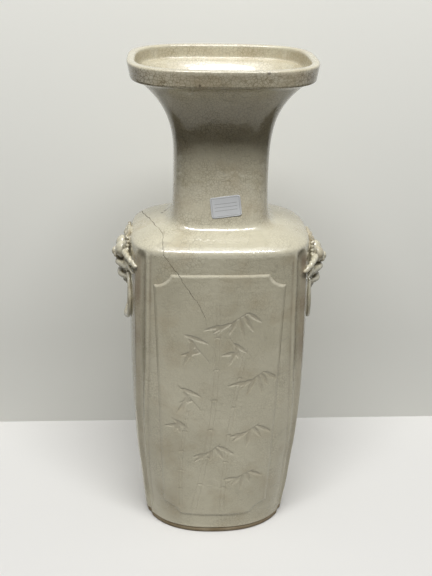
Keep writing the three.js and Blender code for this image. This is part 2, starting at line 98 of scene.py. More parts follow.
# Length along a path at each of its points: the running sum of its steps
def lengthAlong(path):
    return np.concatenate([[0], np.cumsum(np.linalg.norm(np.diff(path, axis=0), axis=1))])


# Half size of the body: the belly less a parabola down to the foot, and less another up to the wall's head
def bodyHalf(z, i):
    foot, belly, head = (vase[level][i] for level in ("foot", "belly", "wallHead"))
    down = (bellyLevel - z) / bellyLevel
    up = (z - bellyLevel) / (wallTop - bellyLevel)
    return np.where(z < bellyLevel, between(belly, foot, down ** 2), between(belly, head, up ** 2))


# Half size of the neck: a slight waist by a parabola, then a flare that rises as a power of the height
def neckHalf(z, i):
    down = np.clip((waistLevel - z) / vase["waistRise"], 0, 1)
    up = np.clip((z - waistLevel) / (lipBottom - waistLevel), 0, 1)
    waist = vase["waist"][i]
    return waist + (vase["neckFoot"][i] - waist) * down ** 2 + (vase["flareHead"][i] - waist) * up ** vase["flarePower"]


# Height of the shoulder over a run that is 1 at the wall and 0 at the neck: a dome, 1 less a power of the run,
# raised to 1 over a second power that tightens its edge, and a hollow fillet
def shoulderHeight(run):
    fromNeck = run * (vase["wallHead"][0] - vase["neckFoot"][0])
    dome = np.maximum(1 - run ** vase["domeSlope"], 0) ** (1 / vase["domeEdge"])
    inFillet = np.maximum(vase["fillet"] - fromNeck, 0)
    fillet = vase["fillet"] - np.sqrt(vase["fillet"] ** 2 - inFillet ** 2)
    return wallTop + dome * (vase["shoulder"] - vase["fillet"]) + fillet


# Half size of the shoulder over the same run: evenly from the neck's to the wall's
def shoulderHalf(run, i):
    return between(vase["neckFoot"][i], vase["wallHead"][i], run)


# Squareness of the plan at a height: the superellipse exponent, blended between the levels that have one
def squareness(z):
    levels = ("foot", "belly", "wallHead", "neckFoot", "waist", "flareHead")
    foot, belly, head, root, waist, flare = (vase[level][2] for level in levels)
    low = between(foot, belly, smooth(z / vase["footBlend"]))
    shoulder = between(head, root, (z - wallTop) / vase["shoulder"])
    high = between(waist, flare, smooth((z - waistLevel) / (lipBottom - waistLevel)))
    return np.where(z < wallTop, low, np.where(z < neckBottom, shoulder, high))


# Power sum of a place's shares of the plan's half sizes: 1 on the superellipse, less inside it
def planPower(x, y, a, b, n):
    return np.abs(x / a) ** n + np.abs(y / b) ** n


# Point of a superellipse in a direction: the ellipse's direction stretched by the power sum of its parts,
# with the outward normal from the curve's gradient
def planPoint(a, b, n, turn):
    c, s = np.cos(turn), np.sin(turn)
    k = (np.abs(c) ** n + np.abs(s) ** n) ** (-1 / n)
    x, y = a * c * k, b * s * k
    nx = np.sign(c) * np.abs(x / a) ** (n - 1) / a
    ny = np.sign(s) * np.abs(y / b) ** (n - 1) / b
    size = np.hypot(nx, ny)
    return x, y, nx / size, ny / size


# How far the plan's direction turns along one millimetre at a flute, where the body is widest
def turnPerMm():
    step = 0.01
    turns = np.array([-step, step]) + vase["fluteTurn"]
    x, y, _, _ = planPoint(*vase["belly"][:2], vase["belly"][2], turns)
    return 2 * step / math.hypot(x[1] - x[0], y[1] - y[0])


fluteHalfTurn = vase["fluteHalfWidth"] * turnPerMm()


# A direction of the plan folded into one quarter: 0 at a side, a right angle at the front and the back
def foldedTurn(turn):
    return np.arctan2(np.abs(np.sin(turn)), np.abs(np.cos(turn)))


# A direction of the plan, as it runs down the vase: below the swing's height it turns to the sides,
# by the square of the way down, most at a flute and not at all in the middle of a wall
def swung(turn, z):
    folded, flute = foldedTurn(turn), vase["fluteTurn"]
    share = smooth(np.minimum(folded / flute, (math.pi / 2 - folded) / (math.pi / 2 - flute)))
    below = np.maximum(1 - z / vase["fluteSwingHeight"], 0)
    return turn - np.sign(np.sin(2 * turn)) * vase["fluteSwing"] * below ** 2 * share


# Flute and arrises at a corner: a hollow of (1 - across squared) squared between two bell-shaped ridges
def fluteRelief(turn, z):
    across = np.abs(foldedTurn(turn) - vase["fluteTurn"]) / fluteHalfTurn
    hollow = np.where(across < 1, (1 - np.minimum(across, 1) ** 2) ** 2, 0)
    ridge = bell((across - vase["arrisAt"]) / vase["arrisWidth"])
    head = smooth((wallTop - z) / vase["fluteFade"])
    low = between(vase["fluteFootShare"], 1, smooth(z / vase["fluteFootFade"]))
    return head * low * (vase["arris"] * ridge - vase["fluteDepth"] * hollow)


# Slow unevenness of a hand-pressed wall: five crossing sine waves, 59 to 76 mm long
def handWave(x, y, z):
    waves = [(0.051, 0.017, 0.063, 0.4), (-0.034, 0.047, 0.089, 1.9), (0.083, -0.029, 0.036, 3.1),
             (0.022, 0.071, -0.044, 4.4), (0.097, 0.012, 0.021, 5.6)]
    return vase["handWave"] * sum(np.sin(kx * x + ky * y + kz * z + start) for kx, ky, kz, start in waves) / 2


# How far a wall stands out: its half size times 1 less a power of the share across, to 1 over that power
def faceOut(half, share, n):
    return half * (1 - np.abs(share) ** n) ** (1 / n)


# Outer face of a side wall, out from the middle plane, at a place across and a height
def sideFace(y, z):
    return faceOut(bodyHalf(z, 0), y / bodyHalf(z, 1), squareness(z))


# Outer face of the front wall or of the neck's front, at a place along and a height
def frontFace(x, z):
    wide, deep = (np.where(z < wallTop, bodyHalf(z, i), neckHalf(z, i)) for i in (0, 1))
    return faceOut(deep, x / wide, squareness(z))


# Mesh in metres from points in millimetres, with quads and triangles given as index arrays
def meshFrom(name, points, quads, tris):
    mesh = bpy.data.meshes.new(name)
    mesh.vertices.add(len(points))
    mesh.vertices.foreach_set("co", (points * 0.001).astype(np.float32).ravel())
    corners = np.concatenate([quads.ravel(), tris.ravel()]).astype(np.int32)
    mesh.loops.add(len(corners))
    mesh.loops.foreach_set("vertex_index", corners)
    starts = np.concatenate([np.arange(len(quads)) * 4, 4 * len(quads) + np.arange(len(tris)) * 3])
    mesh.polygons.add(len(starts))
    mesh.polygons.foreach_set("loop_start", starts.astype(np.int32))
    mesh.update(calc_edges=True)
    mesh.polygons.foreach_set("use_smooth", np.ones(len(starts), dtype=bool))
    return mesh


# Closed surface over a grid of rows of points, whose columns join round.
# Its first and last rows meet in a pole, or each other where it is a hoop.
# The signed volume, a sixth of the sum of the faces' triple products, tells whether to turn it outwards.
def closedGrid(rows, hoop=False):
    count, columns = rows.shape[:2]
    points = rows.reshape(-1, 3)
    here = np.arange(count if hoop else count - 1)[:, None]
    side = np.arange(columns)[None, :]
    up, on = (here + 1) % count, (side + 1) % columns
    quads = np.stack([here * columns + side, here * columns + on, up * columns + on, up * columns + side], -1)
    quads = quads.reshape(-1, 4)
    tris = np.zeros((0, 3), dtype=int)
    if not hoop:
        points = np.vstack([points, rows[0].mean(0), rows[-1].mean(0)])
        side = np.arange(columns)
        on = (side + 1) % columns
        last = (count - 1) * columns
        low = np.stack([on, side, np.full(columns, count * columns)], -1)
        high = np.stack([last + side, last + on, np.full(columns, count * columns + 1)], -1)
        tris = np.vstack([low, high])
    faces = np.vstack([quads[:, [0, 1, 2]], quads[:, [0, 2, 3]], tris])
    a, b, c = (points[faces[:, i]] for i in range(3))
    if np.einsum("ij,ij->i", a, np.cross(b, c)).sum() < 0:
        quads, tris = quads[:, ::-1], tris[:, ::-1]
    return points, quads, tris


# Puts mesh, light or camera data in the scene as an object
def linkObject(name, data):
    linked = bpy.data.objects.new(name, data)
    bpy.context.scene.collection.objects.link(linked)
    return linked


# Puts a finished piece in the scene: it rides on the body, takes its slot and hides the solids it stands for
def addPiece(name, mesh, material, nodes=()):
    piece = linkObject(name, mesh)
    mesh.materials.append(material)
    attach(piece, "root")
    if nodes:
        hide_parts(*nodes)


# Colour as the shaders take it: an sRGB hex value turned to linear light
def colour(value):
    parts = [int(value[i:i + 2], 16) / 255 for i in (1, 3, 5)]
    return (*[p / 12.92 if p <= 0.04045 else ((p + 0.055) / 1.055) ** 2.4 for p in parts], 1.0)


# Adds one shader node with its settings, and its inputs as values, hex colours or links from other nodes' outputs
def addNode(tree, kind, settings=None, **inputs):
    node = tree.nodes.new("ShaderNode" + kind)
    for key, value in (settings or {}).items():
        setattr(node, key, value)
    for key, value in inputs.items():
        socket = node.inputs[int(key[1:])] if key[1:].isdigit() else node.inputs[key.replace("_", " ")]
        if isinstance(value, bpy.types.NodeSocket):
            tree.links.new(value, socket)
        else:
            socket.default_value = colour(value) if isinstance(value, str) else value
    return node


# A number worked out from two or three others by one operation
def calculate(tree, operation, a, b=0.0, c=0.0):
    return addNode(tree, "Math", {"operation": operation}, i0=a, i1=b, i2=c).outputs[0]


# Two colours mixed: a share of 0 gives the first, and 1 the second
def mixColours(tree, share, a, b):
    return addNode(tree, "Mix", {"data_type": "RGBA"}, i0=share, i6=a, i7=b).outputs[2]


# A number carried from one range to another, in a straight line unless a setting bends it, and held at its ends
def moveRange(tree, value, low, high, first=0.0, last=1.0, **settings):
    return addNode(tree, "MapRange", settings, Value=value, i1=low, i2=high, i3=first, i4=last).outputs[0]


# Noise at a place, as a number from 0 to 1
def noiseAt(tree, place, scale, detail=3.0, **inputs):
    return addNode(tree, "TexNoise", Vector=place, Scale=scale, Detail=detail, **inputs).outputs["Fac"]


# Bump: the surface's normal, tilted by the slope of a height whose full depth is in metres
def bumpOf(tree, height, strength, depth, settings=None, **inputs):
    bump = addNode(tree, "Bump", settings, Strength=strength, Distance=depth, Height=height, **inputs)
    return bump.outputs[0]


# A material with an empty node tree
def newMaterial(name):
    material = bpy.data.materials.new(name)
    material.use_nodes = True
    tree = material.node_tree
    tree.nodes.clear()
    return material, tree


# Place in the piece's own metres, which noises and heights are read at
def objectPlace(tree):
    return addNode(tree, "TexCoord").outputs["Object"]


# The material's surface: one layered shader with these inputs
def addSurface(tree, **inputs):
    shader = addNode(tree, "BsdfPrincipled", **inputs)
    addNode(tree, "OutputMaterial", Surface=shader.outputs[0])


# Ge-type crackle glaze: a thick ivory stoneware glaze that crazes as it cools, over a dark body.
# The eye sees a soft grey-ivory gloss, a net of dark crazing with a finer pale brown net inside it, brown staining
# where the glaze is thin, and reflections that waver a little. Painted shade is laid on in the same way on the side
# walls' edges, along the panel's step and under the lip.
glazeLook = {
    # thin is the brown of thin glaze over the dark body; it is also laid on as painted shade
    "ivory": "#d7d1b9", "greyIvory": "#cbc5ad", "stain": "#a08658", "thin": "#7d6653",
    "darkLine": "#5b5140", "paleLine": "#85795c",
    "coarseCell": 11.0, "fineCell": 3.4,  # sizes of the crazed cells in mm
    "coarseLine": 0.36, "fineLine": 0.34,  # widths of the lines in mm, wider than real so that they show
    "bendScale": 110.0, "bendReach": 0.0035,  # noise that bends the lines, and how far, in metres
    "coarseStrength": 0.25, "fineStrength": 0.38, "stainAmount": 0.3, "sunkAmount": 0.3,
    "wearAndShadeStain": 0.4, "wearAndShadeLines": 0.45,  # how far wear, and the painted shade under the lip, brown the glaze and bring out its fine lines
    "hollowStain": 0.0, "hollow": (0.495, 0.44),  # brown gathered in the hollows of a relief, and where they begin
    "flaws": (), "flawStrength": 0.75,  # pinholes and nicks that bare the body: place and radius in mm
    "peelScale": 160.0, "peelDepth": 0.0012, "peelStrength": 0.35,  # slow waves of the milky glaze
    "lineDepth": 0.0002, "lineStrength": 0.3, "lineRoughness": 0.2,  # the crazing as it is felt
    "roughness": 0.14, "ior": 1.6,
    # the clear glass on top of the milky glaze
    "clearRoughness": 0.05, "clearAmount": 0.6, "clearIor": 1.5, "clearPeel": 0.12,
}
# Patches of the glaze: size in mm, the levels of noise where they begin and are full, and its detail
glazePatches = {
    "grey": (70, 0.35, 0.65, 3.0), "stain": (38, 0.5, 0.72, 6.0), "wear": (12, 0.25, 0.7, 5.0),
    "fine": (30, 0.35, 0.7, 3.0), "coarse": (45, 0.25, 0.6, 3.0),
}


# The glaze's colour starts as ivory, and each stain, painted shade, line and flaw is laid over it by its own share
def crackleGlaze(name, sunk=None, **changes):
    look = {**glazeLook, **changes}
    material, tree = newMaterial(name)
    place = objectPlace(tree)

    def vector(operation, a, **inputs):
        return addNode(tree, "VectorMath", {"operation": operation}, i0=a, **inputs).outputs

    # A net of lines: the distance to a cell's edge, in cells, cut at the line's width
    def net(cell, width):
        cells = addNode(tree, "TexVoronoi", {"feature": "DISTANCE_TO_EDGE"}, Vector=bent, Scale=1000 / cell)
        return moveRange(tree, cells.outputs["Distance"], 0.25 * width / cell, 1.1 * width / cell, 1.0, 0.0,
                         interpolation_type="SMOOTHSTEP")

    # A patchy share from 0 to 1: noise of the patches' size, cut between their two levels
    def patches(kind):
        size, low, high, detail = glazePatches[kind]
        return moveRange(tree, noiseAt(tree, place, 1000 / size, detail, Roughness=0.55), low, high)

    def attribute(key):
        return addNode(tree, "Attribute", {"attribute_name": key}).outputs["Fac"]

    def times(a, b):
        return calculate(tree, "MULTIPLY", a, b)

    def over(base, share, paint):
        return mixColours(tree, share, base, look[paint])

    warp = addNode(tree, "TexNoise", Vector=place, Scale=look["bendScale"], Detail=2.0, Roughness=0.6)
    off = vector("SUBTRACT", warp.outputs["Color"], i1=(0.5, 0.5, 0.5))[0]
    bent = vector("ADD", place, i1=vector("SCALE", off, Scale=look["bendReach"])[0])[0]
    coarse, fine = net(look["coarseCell"], look["coarseLine"]), net(look["fineCell"], look["fineLine"])
    wearAndShade = attribute("wearAndShade")
    base = over(look["ivory"], patches("grey"), "greyIvory")
    base = over(base, times(patches("stain"), look["stainAmount"]), "stain")
    # Wear browns the glaze and brings out its fine lines; under the lip this is painted shade
    base = over(base, times(times(wearAndShade, patches("wear")), look["wearAndShadeStain"]), "stain")
    showing = calculate(tree, "MULTIPLY_ADD", wearAndShade, look["wearAndShadeLines"], times(patches("fine"), look["fineStrength"]))
    base = over(base, times(fine, showing), "paleLine")
    base = over(base, times(times(coarse, patches("coarse")), look["coarseStrength"]), "darkLine")
    if look["hollowStain"]:
        hollow = moveRange(tree, addNode(tree, "NewGeometry").outputs["Pointiness"], *look["hollow"])
        base = over(base, times(hollow, look["hollowStain"]), "thin")
    # Thin glaze and the incised cuts, with painted shade on the side walls' edges and along the panel's step
    if sunk:
        base = over(base, times(attribute(sunk), look["sunkAmount"]), "thin")
    for point, radius in look["flaws"]:
        away = vector("DISTANCE", bent, i1=tuple(0.001 * p for p in point))["Value"]
        spot = moveRange(tree, away, 0.0006 * radius, 0.0012 * radius, look["flawStrength"], 0.0)
        base = over(base, spot, "darkLine")
    lines = calculate(tree, "MAXIMUM", coarse, times(fine, 0.6))
    peel = noiseAt(tree, place, look["peelScale"])
    bump = bumpOf(tree, peel, look["peelStrength"], look["peelDepth"])
    addSurface(
        tree, Base_Color=base, IOR=look["ior"],
        Roughness=moveRange(tree, lines, 0.0, 1.0, look["roughness"], look["roughness"] + look["lineRoughness"]),
        Normal=bumpOf(tree, lines, look["lineStrength"], look["lineDepth"], {"invert": True}, Normal=bump),
        Coat_Weight=look["clearAmount"], Coat_Roughness=look["clearRoughness"], Coat_IOR=look["clearIor"],
        Coat_Normal=bumpOf(tree, peel, look["clearPeel"], look["peelDepth"]))
    return material


# Unglazed stoneware: the dark body under the glaze, wiped and fired bare, dull and brown with grit
clayLook = {
    "grit": "#4a3526", "gritScale": 900.0, "gritShare": (0.56, 0.72, 0.0, 0.5),  # dark grit of about 1 mm
    "flashScale": 45.0, "flashShare": (0.35, 0.65),  # flashing of about 20 mm
    "gritStrength": 0.5, "gritDepth": 0.0005, "roughness": 0.78, "ior": 1.5,
}


# Two clay colours mixed by the flashing, with the grit laid over them
def bareStoneware(name, clay, burnt):
    look = clayLook
    material, tree = newMaterial(name)
    place = objectPlace(tree)
    grit, flash = noiseAt(tree, place, look["gritScale"], 4.0), noiseAt(tree, place, look["flashScale"])
    base = mixColours(tree, moveRange(tree, flash, *look["flashShare"]), clay, burnt)
    base = mixColours(tree, moveRange(tree, grit, *look["gritShare"]), base, look["grit"])
    addSurface(tree, Base_Color=base, Roughness=look["roughness"], IOR=look["ior"],
               Normal=bumpOf(tree, grit, look["gritStrength"], look["gritDepth"]))
    return material


# Chips of the lip and bare spots on the shoulder
glazeFlaws = [((-27.2, -79.8, 584.8), 1.5), ((42.5, -79.3, 597.5), 1.7), ((-60.5, 19.4, 417.4), 2.4),
              ((-64.1, 17.3, 414.9), 2.2), ((-67.7, 13.0, 414.0), 2.0), ((-58.7, 38.9, 414.7), 1.6)]
# The wall's thin-glaze share holds painted shade on the side walls' edges, and the panel's share painted shade along
# its step
wallGlaze = crackleGlaze("crackleGlazeWall", sunk="thinGlazeAndSideShade", sunkAmount=0.5, flaws=glazeFlaws)
panelGlaze = crackleGlaze("crackleGlazePanel", sunk="incisedAndEdgeShade", sunkAmount=0.3, fineStrength=0.24, coarseStrength=0.17)
spriggedGlaze = crackleGlaze("crackleGlazeSprigged", stainAmount=0.6, fineCell=3.0, coarseCell=8.0, hollowStain=0.7)
footClay = bareStoneware("unglazedFootStoneware", "#b5a68c", "#978669")
coilClay = bareStoneware("seamCoilClay", "#a08c70", "#7d6a50")
print("glaze and clay materials made")

# Glazed skin: the walls, shoulder, neck, flare and lip as one glazed surface, outside and inside
skinForm = {
    "glazeEdge": 8.2,  # height where the glaze stops above the foot, in mm
    "glazeRoll": 0.4,  # how thick it gathers there, in mm
    "bodyRows": 104, "bodyCrowding": 1.15, "shoulderRows": 34, "neckRows": 46, "insideRows": 96,
    "sideColumns": 26, "fluteColumns": 30, "frontColumns": 18,
    "fluteSpread": 1.9,  # reach of the close columns on each side of a flute, in its half widths
    # steps of the section, up and out in mm: the glaze's rolled edge, under the lip, and inside it
    "rolledEdge": ((0.6, -2.2), (0.0, -1.5), (0.1, -0.5), (0.5, 0.0)),
    "underLip": ((-0.9, -3.4), (-0.4, -1.4), (0.2, -0.4), (1.0, 0.0)),
    "insideLip": ((3.2, -0.5), (2.7, -1.8)),
    "lipRound": (0, 22, 45, 68, 90), "lipRows": 6, "outsideLipRows": 10,
    # the floor inside: rise in mm and share of the wall's half sizes
    "floor": ((1.2, 0.985), (0.4, 0.95), (0.1, 0.8), (0.0, 0.45), (0.0, 0.1)),
}


# Directions round the plan, four quarters alike, with close columns across each flute
def planTurns():
    form, flute = skinForm, vase["fluteTurn"]
    spread = form["fluteSpread"] * fluteHalfTurn
    quarter = np.concatenate([
        np.linspace(0, flute - spread, form["sideColumns"], endpoint=False),
        np.linspace(flute - spread, flute + spread, form["fluteColumns"], endpoint=False),
        np.linspace(flute + spread, math.pi / 2, form["frontColumns"], endpoint=False)])
    back = math.pi - quarter[:0:-1]
    half = np.concatenate([quarter, [math.pi / 2], back])
    return np.concatenate([half, half + math.pi])


# The skin's rows follow its section from the middle of the underside, out and up the outside,
# over the lip, and down the inside to the middle of the floor.
# Each row has a height, half width, half depth and squareness, and a share of the flutes.
def planRows(z, wide, deep, fluted):
    return np.stack([z, wide, deep, squareness(z), np.full_like(z, fluted)], -1)


# The outside from the glaze's edge to the lip: body, shoulder and neck, each with its own half sizes
def skinRows():
    t = np.linspace(0, 1, skinForm["bodyRows"]) ** skinForm["bodyCrowding"]
    z = between(skinForm["glazeEdge"] + 1.2, wallTop, t)
    body = planRows(z, bodyHalf(z, 0), bodyHalf(z, 1), 1.0)
    turn = np.linspace(0, math.pi / 2, skinForm["shoulderRows"])[1:]
    run = 0.5 * (np.cos(turn) + 1 - np.sin(turn))
    shoulder = planRows(shoulderHeight(run), shoulderHalf(run, 0), shoulderHalf(run, 1), 1.0)
    z = between(neckBottom, lipBottom, np.linspace(0, 1, skinForm["neckRows"])[1:])
    return np.vstack([body, shoulder, planRows(z, neckHalf(z, 0), neckHalf(z, 1), 0.0)])


# The inside of the wall: each half size's outline moved inwards by the wall's thickness, square to itself,
# and read again at shared heights. Where it folds back under the shoulder, only its rising part is kept.
def insideRows(outer):
    thick = between(vase["bodyWall"], vase["neckWall"], smooth((outer[:, 0] - wallTop) / vase["shoulder"]))
    moved = []
    for i in (1, 2):
        dz, dr = np.gradient(outer[:, 0]), np.gradient(outer[:, i])
        size = np.hypot(dz, dr)
        z, half = outer[:, 0] + thick * dr / size, outer[:, i] - thick * dz / size
        rising = z >= np.maximum.accumulate(z)
        moved.append((z[rising], half[rising]))
    (zWide, wide), (zDeep, deep) = moved
    level = np.linspace(0, 1, skinForm["insideRows"])
    along = np.interp(level * (len(zWide) - 1), np.arange(len(zWide)), zWide)
    z = np.sort(np.clip(along, wallBottom + 3, lipBottom + 2.5))
    z = z[np.concatenate([[True], np.diff(z) > 0.05])]
    return planRows(z, np.interp(z, zWide, wide), np.interp(z, zDeep, deep), 0.0)[::-1]


# One row of the lip band: a share of its height, moved in or out, in the plan that widens to the rim
def lipRow(z, out):
    share = (z - lipBottom) / vase["lip"]
    a, b, n = (between(low, high, share) for low, high in zip(vase["lipFoot"], vase["lipHead"]))
    return [z, a + out, b + out, n, 0.0]


# The skin: rows of the underside, outside, lip, inside and floor, carried round the plan and swung with the flutes.
# Flutes, unevenness and the bell-shaped roll of the glaze move each point along its outward normal.
def glazedSkin():
    form, outer = skinForm, skinRows()
    edge, ring, height, wall = form["glazeEdge"], vase["footRing"], vase["height"], vase["lipWall"]
    _, wide, deep, square, _ = outer[0]
    under = [[ring + 0.3, wide * s, deep * s, square, 0.0] for s in (0.1, 0.5, 0.82)]
    under += [[ring, wide - 3, deep - 3, square, 0.0]]
    under += [[edge + up, wide + out, deep + out, square, 1.0] for up, out in form["rolledEdge"]]
    soft, rounding = vase["lipEdge"], np.radians(form["lipRound"])
    lip = [lipRow(lipBottom + up, out) for up, out in form["underLip"]]
    lip += [lipRow(z, 0.0) for z in np.linspace(lipBottom + 2.5, height - soft, form["lipRows"])[:-1]]
    lip += [lipRow(height - soft * (1 - math.sin(t)), -soft * (1 - math.cos(t))) for t in rounding]
    lip += [lipRow(height, -soft - 1.8)]
    lip += [lipRow(height - soft * (1 - math.cos(t)), -wall + soft * (1 - math.sin(t))) for t in rounding]
    lip += [lipRow(z, -wall) for z in np.linspace(height - soft, lipBottom + 4.4, form["lipRows"])[1:]]
    lip += [lipRow(lipBottom + up, out - wall) for up, out in form["insideLip"]]
    inner = insideRows(outer)
    _, wide, deep, square, _ = inner[-1]
    floor = [[wallBottom + up, wide * s, deep * s, square, 0.0] for up, s in form["floor"]]
    rows = np.vstack([under, outer[:-1], lip, inner, floor])
    turns = planTurns()
    z = np.repeat(rows[:, :1], len(turns), axis=1)
    x, y, nx, ny = planPoint(rows[:, 1:2], rows[:, 2:3], rows[:, 3:4], swung(turns[None, :], z))
    outside = (np.arange(len(rows)) < len(under) + len(outer) - 1 + form["outsideLipRows"])[:, None]
    fluted = rows[:, 4:5]
    out = fluted * np.where(z < wallTop, fluteRelief(turns[None, :], z), 0)
    out = out + np.where(outside, handWave(x, y, z) * stretch(z, 8, 30, 590, 30), 0)
    out = out + np.where(outside & (fluted > 0), form["glazeRoll"] * bell((z - edge - 1.2) / 1.4), 0)
    return np.stack([x + nx * out, y + ny * out, z], -1)


# Adds a number at each point, which the glaze reads by its name
def addShare(mesh, name, values):
    padded = np.zeros(len(mesh.vertices), dtype=np.float32)
    padded[:values.size] = values.ravel()
    mesh.attributes.new(name, "FLOAT", "POINT").data.foreach_set("value", padded)


# Strength of the wear inside the lip, in its middle and at its ends, of the painted shade under it, and of the wear at
# the neck's root and at the foot
wearAndShadeForm = {"inside": 0.35, "middle": 0.75, "ends": 0.85, "under": 0.6, "root": 0.33, "foot": 0.5}
# Strength of the thin glaze beside an arris and of the painted shade on the side wall's edge, the most they may be
# together, and where they gain
thinGlazeAndShadeForm = {"lines": 0.9, "band": 1.15, "most": 1.4, "gains": 225.0}


# Wear and dirt, with painted shade under the lip: the largest of four shares, each held between smooth steps of the
# height. They are the lip's wear, less inside it and more by the square of the way to its ends, painted shade on the
# flare under it, and wear at the neck's root and the foot.
def wearAndShadeShare(points):
    form, (wide, deep, _) = wearAndShadeForm, vase["lipHead"]
    x, y, z = points[..., 0], points[..., 1], points[..., 2]
    lip = stretch(z, lipBottom - 3, 4, vase["height"] + 1.5, 6) * (form["middle"] + form["ends"] * (x / wide) ** 2)
    lip = lip * np.where(planPower(x, y, wide, deep, 3.2) < 0.88, form["inside"], 1)
    # Painted shade: the flare under the lip's overhang darker and browner
    under = form["under"] * stretch(z, 490, 40, lipBottom + 1, 2)
    root = form["root"] * stretch(z, neckBottom - 12, 12, neckBottom + 85, 40)
    foot = form["foot"] * smooth((14 - z) / 8)
    return np.maximum(np.maximum(lip, under), np.maximum(root, foot))


# Thin glaze that lets the dark body through, as lines beside each arris, and painted shade as a broad band on the side
# wall's edge, where it turns from the light: bell curves of the turn from the flute, broken up by slow waves along the
# height, and less towards the foot
def thinGlazeAndShadeShare(points):
    x, y, z = points[..., 0], points[..., 1], points[..., 2]
    toFront = (foldedTurn(np.broadcast_to(planTurns(), x.shape)) - vase["fluteTurn"]) / fluteHalfTurn
    across = np.abs(toFront)
    lines = thinGlazeAndShadeForm["lines"] * bell((across - 0.62) / 0.3) + bell((across - 1.5) / 0.14)
    streaks = 0.65 + 0.35 * np.sin(z / 31 + 4 * np.sign(x) + 2 * np.sign(y)) * np.sin(z / 13 + 3 * np.sign(x * y))
    high = smooth((z - thinGlazeAndShadeForm["gains"] - 12 * np.sin(x / 3 + y / 5)) / 60)
    # Painted shade: the side wall's edge, where it turns from the light, darker, and more so higher up
    band = thinGlazeAndShadeForm["band"] * bell((toFront + 1.5) / 1.1) * (0.25 + 0.75 * high)
    share = np.minimum(lines * (0.6 + 0.4 * high) + band, thinGlazeAndShadeForm["most"])
    return share * streaks * stretch(z, 15, 50, wallTop - 3, 12)


skin = glazedSkin()
mesh = meshFrom("glazed_skin", *closedGrid(skin))
# The wear share holds painted shade under the lip
addShare(mesh, "wearAndShade", wearAndShadeShare(skin))
# The thin-glaze share holds painted shade on the side walls' edges
addShare(mesh, "thinGlazeAndSideShade", thinGlazeAndShadeShare(skin))
replaced = ["front_wall", "back_wall", "left_wall", "right_wall", "shoulder", "neck", "mouth_flare", "lip_band",
            "base_slab"]
addPiece("glazed_skin", mesh, wallGlaze, replaced)
print("glazed skin:", len(mesh.polygons), "faces")

# Foot rim: the bare ring that the vase stands on, a little inside the glaze
footForm = {"inset": 0.2, "width": 12.4, "bevel": 1.6, "innerBevel": 1.4}


# A hoop: the section's corners, as a height and a step inwards, carried round the foot's superellipse
def footRim():
    inset, width, bevel, inner = (footForm[key] for key in ("inset", "width", "bevel", "innerBevel"))
    section = np.array([(9.0, inset + 1.2), (6.0, inset), (4.4, inset), (bevel, inset), (0.7, inset + 0.7),
                        (0.0, inset + bevel), (0.0, width - inner), (0.4, width - 0.4), (inner, width),
                        (9.2, width + 0.3)])
    z, inward = section[:, :1], section[:, 1:]
    turns = roundTurns(240)[None, :]
    x, y, nx, ny = planPoint(bodyHalf(z, 0), bodyHalf(z, 1), squareness(z), swung(turns, z))
    out = fluteRelief(turns, z) - inward
    return np.stack([x + nx * out, y + ny * out, np.broadcast_to(z, x.shape)], -1)


mesh = meshFrom("foot_rim", *closedGrid(footRim(), hoop=True))
addPiece("foot_rim", mesh, footClay, ["foot_ring"])

# Raised panel with bitten corners, on the front and the back. The front one has incised bamboo.
panelForm = {
    "relief": 1.4, "headHalf": 76.0, "footHalf": 66.0, "head": wallTop - 23, "foot": wallBottom + 9,
    "notch": 21.5, "notchLift": 7.0,  # radius of the bites, and how far their middles lie beyond head and foot
    "edge": 5.0,  # how far the edge rounds over, in mm
    "spacing": 0.86,  # distance between the grid's points, in mm
    "margin": 2.5, "dip": 0.7,  # the grid outside the outline: how far it goes on and how deep it lies
    "behind": 3.0,  # how far the back lies inside the wall's face
    "border": 4.0,  # width of the plain border round the bamboo
    "cutDepth": 0.6,
}
# Widths of the tool's marks for the stems, their joints, the twigs and the leaves, in mm
bambooMarks = {"stem": 0.8, "joint": 1.2, "twig": 0.7, "leaf": 4.4}
# Bamboo stems: foot and head along and up, bow to the side, thickness, joints, in mm
bambooStems = [
    ((-30, 40), (-4, 338), 9, 6.4, 7), ((6, 36), (30, 282), -6, 5.2, 6), ((-46, 44), (-38, 196), -4, 4.0, 5),
]
# Leaf sprays: the twig's root, its tip, then how many leaves hang from it and how long they are
bambooSprays = [
    ((-12, 262), (-42, 300), 6, 30), ((-6, 300), (30, 328), 6, 30), ((-22, 196), (-50, 232), 5, 27),
    ((24, 226), (52, 250), 6, 28), ((28, 262), (10, 296), 4, 24), ((18, 150), (50, 176), 5, 26),
    ((-40, 168), (-58, 186), 4, 20), ((-24, 120), (2, 146), 5, 24), ((12, 84), (44, 104), 5, 24),
]


# Share of a stroke at each place: 1 inside its width, 0 a little outside.
# The distance to a line of short straight parts is taken, less half the width that runs along it.
def stroke(x, z, path, widths, soft=0.55):
    share = np.zeros_like(x)
    reach = max(widths) + 2
    inside = (x > path[:, 0].min() - reach) & (x < path[:, 0].max() + reach)
    inside &= (z > path[:, 1].min() - reach) & (z < path[:, 1].max() + reach)
    p = np.stack([x[inside], z[inside]], -1)[:, None, :]
    a, d = path[None, :-1], np.diff(path, axis=0)[None]
    t = np.clip(((p - a) * d).sum(-1) / (d ** 2).sum(-1), 0, 1)
    away = np.linalg.norm(p - a - t[..., None] * d, axis=-1)
    half = 0.5 * (widths[None, :-1] * (1 - t) + widths[None, 1:] * t)
    share[inside] = smooth(0.5 - (away - half).min(1) / soft)
    return share


